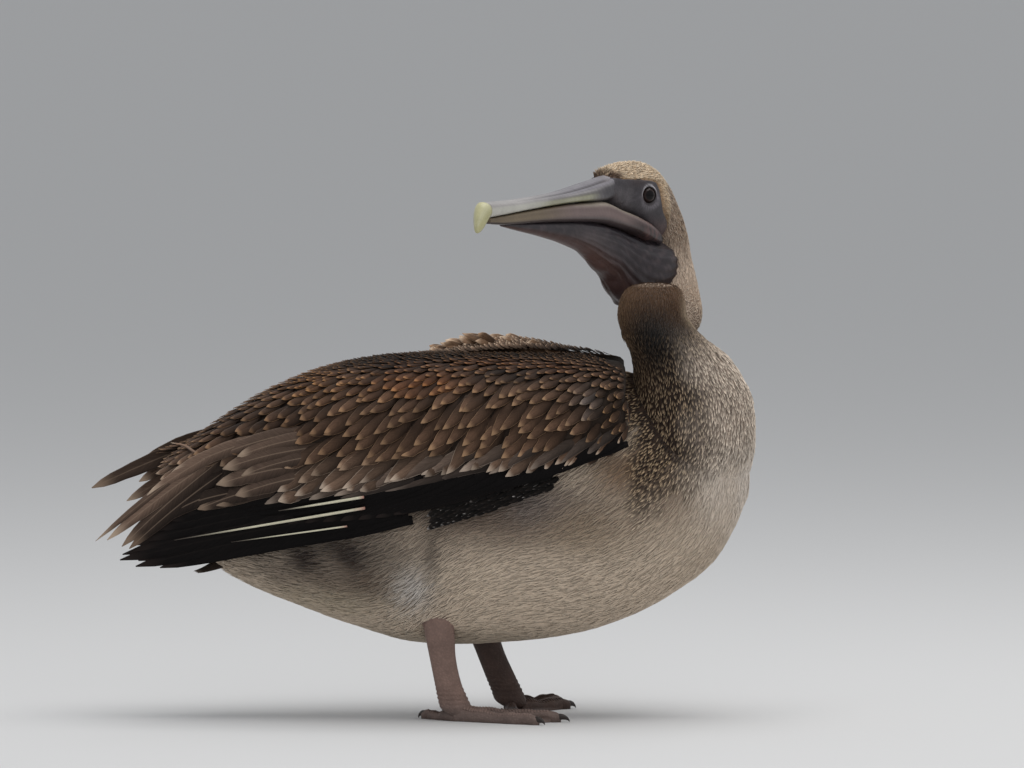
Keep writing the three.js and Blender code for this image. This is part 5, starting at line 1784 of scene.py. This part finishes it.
# %% Tail
fan = np.linspace(-1, 1, 7)
level = np.abs(fan)
tail_root = np.column_stack([-170 + 0 * fan, fan * 12, 159 - 2 * level])
tail_tip = np.column_stack([-219 + 4 * level, fan * 14, 139 - level])
s = np.linspace(0, 1, 10)[None, :, None]
line = tail_root[:, None] * (1 - s) + tail_tip[:, None] * s
facing = np.zeros_like(line)
facing[..., 1] = np.sin(fan)[:, None]
facing[..., 2] = np.cos(fan)[:, None]
lay_vanes("tail feathers", line, facing, 11.0, 0.7, 0.12, colour(50, 42, 37), colour(96, 84, 74), flight,
          "quills", ("tail",), (line[:, 0, 1], line[:, 0, 0]), seed=140, vary=0.06, thick=0.6, wear=0.02)

# %% [markdown]
# ## Bill
# The bill is bare horn over bone. Its upper half has a raised ridge along the middle with a shallow groove
# on each side, and a thin pale cutting edge below. The lower half is two springy bones, of which only
# a narrow band shows above the pouch, broad at the cheek and fine towards the tip. A hooked nail ends it.
# All three are rows of rings in the head's own directions, and their colours change along and across them.

# %% Bill shapes
UPPER_BILL = {
    44: (21.5, 0, 12.4), 55: (20.6, -0.6, 13.9), 68: (19.5, -1.2, 15.2), 100: (16.5, 1.5, 14.8),
    140: (14, 3, 13), 190: (13.2, 3.2, 11.4), 236: (13.4, 2.8, 10.6), 266: (14.4, 2.2, 9.8),
    290: (15.4, 2, 8.6),
}
LOWER_BILL = {
    -40: (-46, -50, 10), -26: (-39, -50.5, 22.4), -8: (-28.4, -46, 25), 18: (-18, -36, 22.8),
    44: (-9.8, -28.5, 19.6), 58: (-4.4, -25, 17.8), 72: (-0.6, -22, 16.4), 100: (0.6, -18.5, 15),
    140: (2.2, -15, 13), 190: (2.6, -11.5, 11), 236: (2.2, -9, 9.8), 264: (1.6, -7, 8.2), 287: (1.2, -4, 5),
}
NAIL = {
    289: (15.4, 2.2, 8.3), 292: (16.4, -0.4, 8.3), 295: (16.6, -4, 7.8), 300: (13, -9.5, 6.2),
    304: (6, -11.5, 4), 306.5: (-2, -11, 2),
}


def bill_shell(stations, boxy, rings, around, carve_in):
    """A carved shell, with each point's place forward, share of the way across and share of the way down."""
    f = spread(min(stations), max(stations), rings)
    top, bottom, half = along(stations, f)
    points, faces, facing = head_shell(f, half, top, bottom, (top + bottom) / 2, around, boxy)
    place, l, u = to_head(points)
    top, bottom, half = along(stations, place)
    across = np.clip(np.abs(l) / half, 0, 1.05)
    drop = np.clip((top - u) / (top - bottom), 0, 1)
    points = points + facing * carve_in(place, across, drop)[:, None]
    return (points, faces), place, across, drop


def upper_carving(f, across, drop):
    ridge = 0.9 * hump(across, 0, 0.22) * (drop < 0.5)
    groove = -1.5 * hump(across, 0.62, 0.13) * (drop < 0.45) * smooth(292, 200, f) * smooth(44, 60, f)
    lip = 0.5 * hump(drop, 0.86, 0.12) * smooth(60, 110, f)
    flakes = 0.07 * np.sin(f * 0.9 + 14 * drop) + 0.05 * np.sin(f * 2.3 - 9 * across)
    base_step = 0.5 * hump(f, 47, 2.0)
    return ridge + groove + lip + flakes + base_step


def lower_carving(f, across, drop):
    channel = -0.7 * hump(drop, 0.42, 0.16) * smooth(0, 60, f) * (across > 0.6)
    edge = 0.35 * hump(drop, 0.1, 0.1) * (across > 0.6)
    crinkle = 0.22 * np.sin(f * 1.5 + 9 * drop) * smooth(40, -10, f)
    return channel + edge + crinkle + 0.05 * np.sin(f * 1.1 + 12 * drop)


shape, f, across, drop = bill_shell(UPPER_BILL, 0.62, 190, 72, upper_carving)
tint = washed(
    colour(118, 114, 120), ((160, 156, 154), smooth(110, 250, f) * 0.85),
    ((62, 57, 62), hump(across, 0.62, 0.15) * (drop < 0.5) * smooth(250, 120, f) * 0.95),
    ((166, 164, 136), smooth(0.30, 0.62, drop) * smooth(70, 110, f) * 0.8),
    ((84, 78, 78), hump(drop, 0.42, 0.12) * smooth(190, 110, f) * 0.8),
    ((156, 152, 152), hump(drop, 0.32, 0.08) * smooth(46, 62, f) * smooth(200, 110, f) * 0.85),
    ((112, 116, 68), smooth(0.78, 0.98, drop) * smooth(84, 130, f) * smooth(236, 180, f) * 0.85),
    ((118, 100, 66), smooth(0.5, 0.9, drop) * smooth(236, 284, f) * 0.8),
    ((66, 62, 66), smooth(104, 70, f) * smooth(0.14, 0.36, drop)),
    ((190, 188, 180), smooth(170, 214, f) * smooth(0.20, 0.44, drop) * 0.9),
    ((150, 147, 152), hump(f, 52, 10) * smooth(0.2, 0.0, drop) * 0.8))
show_painted("upper bill", shape, tint, horn, "bill_horn", "bill_upper")

shape, f, across, drop = bill_shell(LOWER_BILL, 0.62, 190, 72, lower_carving)
spotty = np.clip(cloudy(shape[0], 9, 31) + 0.2, 0, 1) * hump(f, -2, 14)
tint = washed(
    colour(112, 95, 92), ((106, 92, 66), smooth(120, 210, f) * 0.8),
    ((150, 140, 126), smooth(0.30, 0.08, drop) * smooth(-6, 40, f) * smooth(150, 90, f) * 0.85),
    ((58, 49, 51), smooth(0.62, 0.88, drop) * 0.9),
    ((54, 44, 44), smooth(0.22, 0.46, drop) * smooth(50, 12, f) * 0.92),
    # the first wash on the next line is painted shade over the rear end of the lower bill
    ((44, 37, 39), smooth(2, -20, f) * 0.95), ((118, 86, 82), spotty * 0.6))
show_painted("lower bill", shape, tint, horn, "bill_horn", "bill_lower")

shape, f, across, drop = bill_shell(NAIL, 0.9, 60, 56, lambda f, across, drop: 0.05 * np.sin(f * 2.0))
tint = washed(colour(178, 174, 132), ((140, 130, 96), smooth(293, 289, f) * 0.6),
              ((204, 202, 176), hump(drop, 0.2, 0.2) * 0.4))
show_painted("bill nail", shape, tint, horn, "nail_horn", "bill_nail")

# %% [markdown]
# ## Scutes of the toes
# The top of each toe is tiled with narrow horny plates, the scutes, which get smaller towards the claw.
# They could be modelled one by one, but they repeat along a path, which is what geometry nodes are for.
# Each toe gives a line along its ridge that knows the toe's width at every point. The tree turns the
# lines into curves, puts a plate on each of their points, and turns and scales it to fit.

# %% One plate, and a line along each toe
across, ahead = np.meshgrid(np.linspace(-1, 1, 7), np.linspace(-1, 1, 3))
top = np.stack([ahead * 0.20, across * 0.72, 0.12 - 0.10 * ahead - 0.34 * across**2], -1)[None]
points, faces = slabs(top, top - [0, 0, 0.14])
plate = bpy.data.objects.new("plate", mesh_of("plate", millimetres(points), faces))
places, widths, links = [], [], []
for side in (-1, 1):
    for toe, (_, length, _) in TOES.items():
        t = np.arange(0.12, 0.90, 2.9 / length)
        line = ANKLE[side] + toe_way(side, toe) * (t * length)[:, None]
        line[:, 2] = toe_ridge(toe, t)
        links += [(k, k + 1) for k in range(len(places), len(places) + len(t) - 1)]
        places += list(metres(line))
        widths += list(toe_half(toe, t) / 1000)
lines_mesh = bpy.data.meshes.new("toe lines")
lines_mesh.from_pydata(places, links, [])
lines_mesh.attributes.new("width", "FLOAT", "POINT").data.foreach_set("value", widths)
lines = bpy.data.objects.new("toe lines", lines_mesh)
for made in (plate, lines):
    scene.collection.objects.link(made)
print("plates to lay", len(places))

# %% The scute tree
scutes = bpy.data.node_groups.new("scutes along lines", "GeometryNodeTree")
for label, kind, way_in in (("Lines", "Geometry", "INPUT"), ("Plate", "Object", "INPUT"),
                            ("Plate scale", "Float", "INPUT"), ("Finish", "Material", "INPUT"),
                            ("Scutes", "Geometry", "OUTPUT")):
    scutes.interface.new_socket(label, in_out=way_in, socket_type="NodeSocket" + kind)
given = scutes.nodes.new("NodeGroupInput").outputs
curves = node(scutes, "GeometryNodeMeshToCurve", Mesh=given["Lines"]).outputs[0]
tangent = node(scutes, "GeometryNodeInputTangent").outputs[0]
heading = node(scutes, "FunctionNodeAlignRotationToVector", {"axis": "X", "pivot_axis": "Z"}, Vector=tangent)
width = node(scutes, "GeometryNodeInputNamedAttribute", {"data_type": "FLOAT"}, Name="width").outputs[0]
size = figure(scutes, "MULTIPLY", width, given["Plate scale"])
shape = node(scutes, "GeometryNodeObjectInfo", Object=given["Plate"]).outputs["Geometry"]
laid = node(scutes, "GeometryNodeInstanceOnPoints", Points=curves, Instance=shape,
            Rotation=heading.outputs[0], Scale=size).outputs[0]
joined = node(scutes, "GeometryNodeRealizeInstances", Geometry=laid).outputs[0]
painted = node(scutes, "GeometryNodeSetMaterial", Geometry=joined, Material=given["Finish"]).outputs[0]
scutes.links.new(painted, scutes.nodes.new("NodeGroupOutput").inputs["Scutes"])

layer = lines.modifiers.new("scutes", "NODES")
layer.node_group = scutes
sockets = {item.name: item.identifier for item in scutes.interface.items_tree}
layer[sockets["Plate"]] = plate
layer[sockets["Plate scale"]] = 1.0
layer[sockets["Finish"]] = leg_skin
mesh = bpy.data.meshes.new_from_object(lines.evaluated_get(bpy.context.evaluated_depsgraph_get()))
for made in (plate, lines):
    bpy.data.objects.remove(made)
spots = millimetres(read_all(mesh.vertices, "co", 3, np.float32))
add_marks(mesh, tint=leg_markings(spots) * 1.25)
show("toe scutes", mesh, None, "leg_skin")

# %% [markdown]
# ## Eyes
# A young pelican's eye is so dark that the pupil hardly shows, yet a flat black bead would look dead. The
# eyeball is a sphere whose rings run round the line of sight, so that the pupil, the brown iris and its
# dark rim have clean edges, with a shallow swell for the cornea. A clear coat on the shader
# gives the wet highlight, and the fine streaks of the iris are painted from the centre outwards.

# %% Eyes
eye_finish, tree, shader = finish("wet eye", 0.12, coat=0.12, specular=0.12)
shader.inputs["Coat Roughness"].default_value = 0.03
tree.links.new(marked(tree, "tint"), shader.inputs["Base Color"])
for side in (-1, 1):
    middle, sight, lid_way, lid_up = eye_frame(side)
    a = (np.linspace(0, 1, 56) ** 1.3 * 0.985 + 0.004)[:, None] * np.pi
    b = turn(72)
    size = EYE_SIZE + 0.55 * np.exp(-((a / 0.62) ** 4))
    out = (sight * np.cos(a)[..., None] + lid_way * (np.sin(a) * np.cos(b))[..., None]
           + lid_up * (np.sin(a) * np.sin(b))[..., None])
    points, faces = shell(middle + out * size[..., None])
    away = points - middle
    off_axis = np.arccos(np.clip((unit(away) @ sight), -1, 1))
    spin = np.arctan2(away @ lid_up, away @ lid_way)
    streak = 0.5 + 0.5 * np.sin(spin * 41) * np.sin(spin * 17 + 1)
    tint = washed(colour(34, 25, 24), ((54, 41, 38), streak * 0.5),
                  ((13, 11, 12), smooth(0.44, 0.40, off_axis)), ((18, 15, 16), smooth(0.74, 0.82, off_axis)))
    name = WING_NAMES[side]
    show_painted("eye " + name, (points, faces), tint, eye_finish, "eye", "eye_" + name)

# %% Claws
claw_horn = hide_finish("claw horn", 0.42, 0.1, 1400.0, 120.0, 0.1, 0.1)
CLAWS = {"inner": 12, "middle": 14, "outer": 12, "hind": 10}
shapes, claw_nodes = [], []
for side in (-1, 1):
    for toe, reach in CLAWS.items():
        way = toe_way(side, toe)
        across = np.array([-way[1], way[0], 0.0])
        t = np.linspace(0, 1, 26)[:, None]
        half = 3.3 * (1 - t) ** 0.7 + 0.3
        line = ANKLE[side] + way * (TOES[toe][1] - 5 + reach * np.sin(1.35 * t))
        a = turn(22)
        ring = line[:, None] + across * (half * 0.8 * np.cos(a))[..., None]
        ring[..., 2] = np.maximum(4.6 + 1.2 * np.sin(np.pi * t) - 3.9 * t * t + half * np.sin(a), 0.0)
        shapes.append(shell(ring))
        claw_nodes.append(f"claw_{toe}_{WING_NAMES[side]}")
show_painted("claws", gathered(shapes), colour(44, 36, 33), claw_horn, "claw_horn", *claw_nodes)
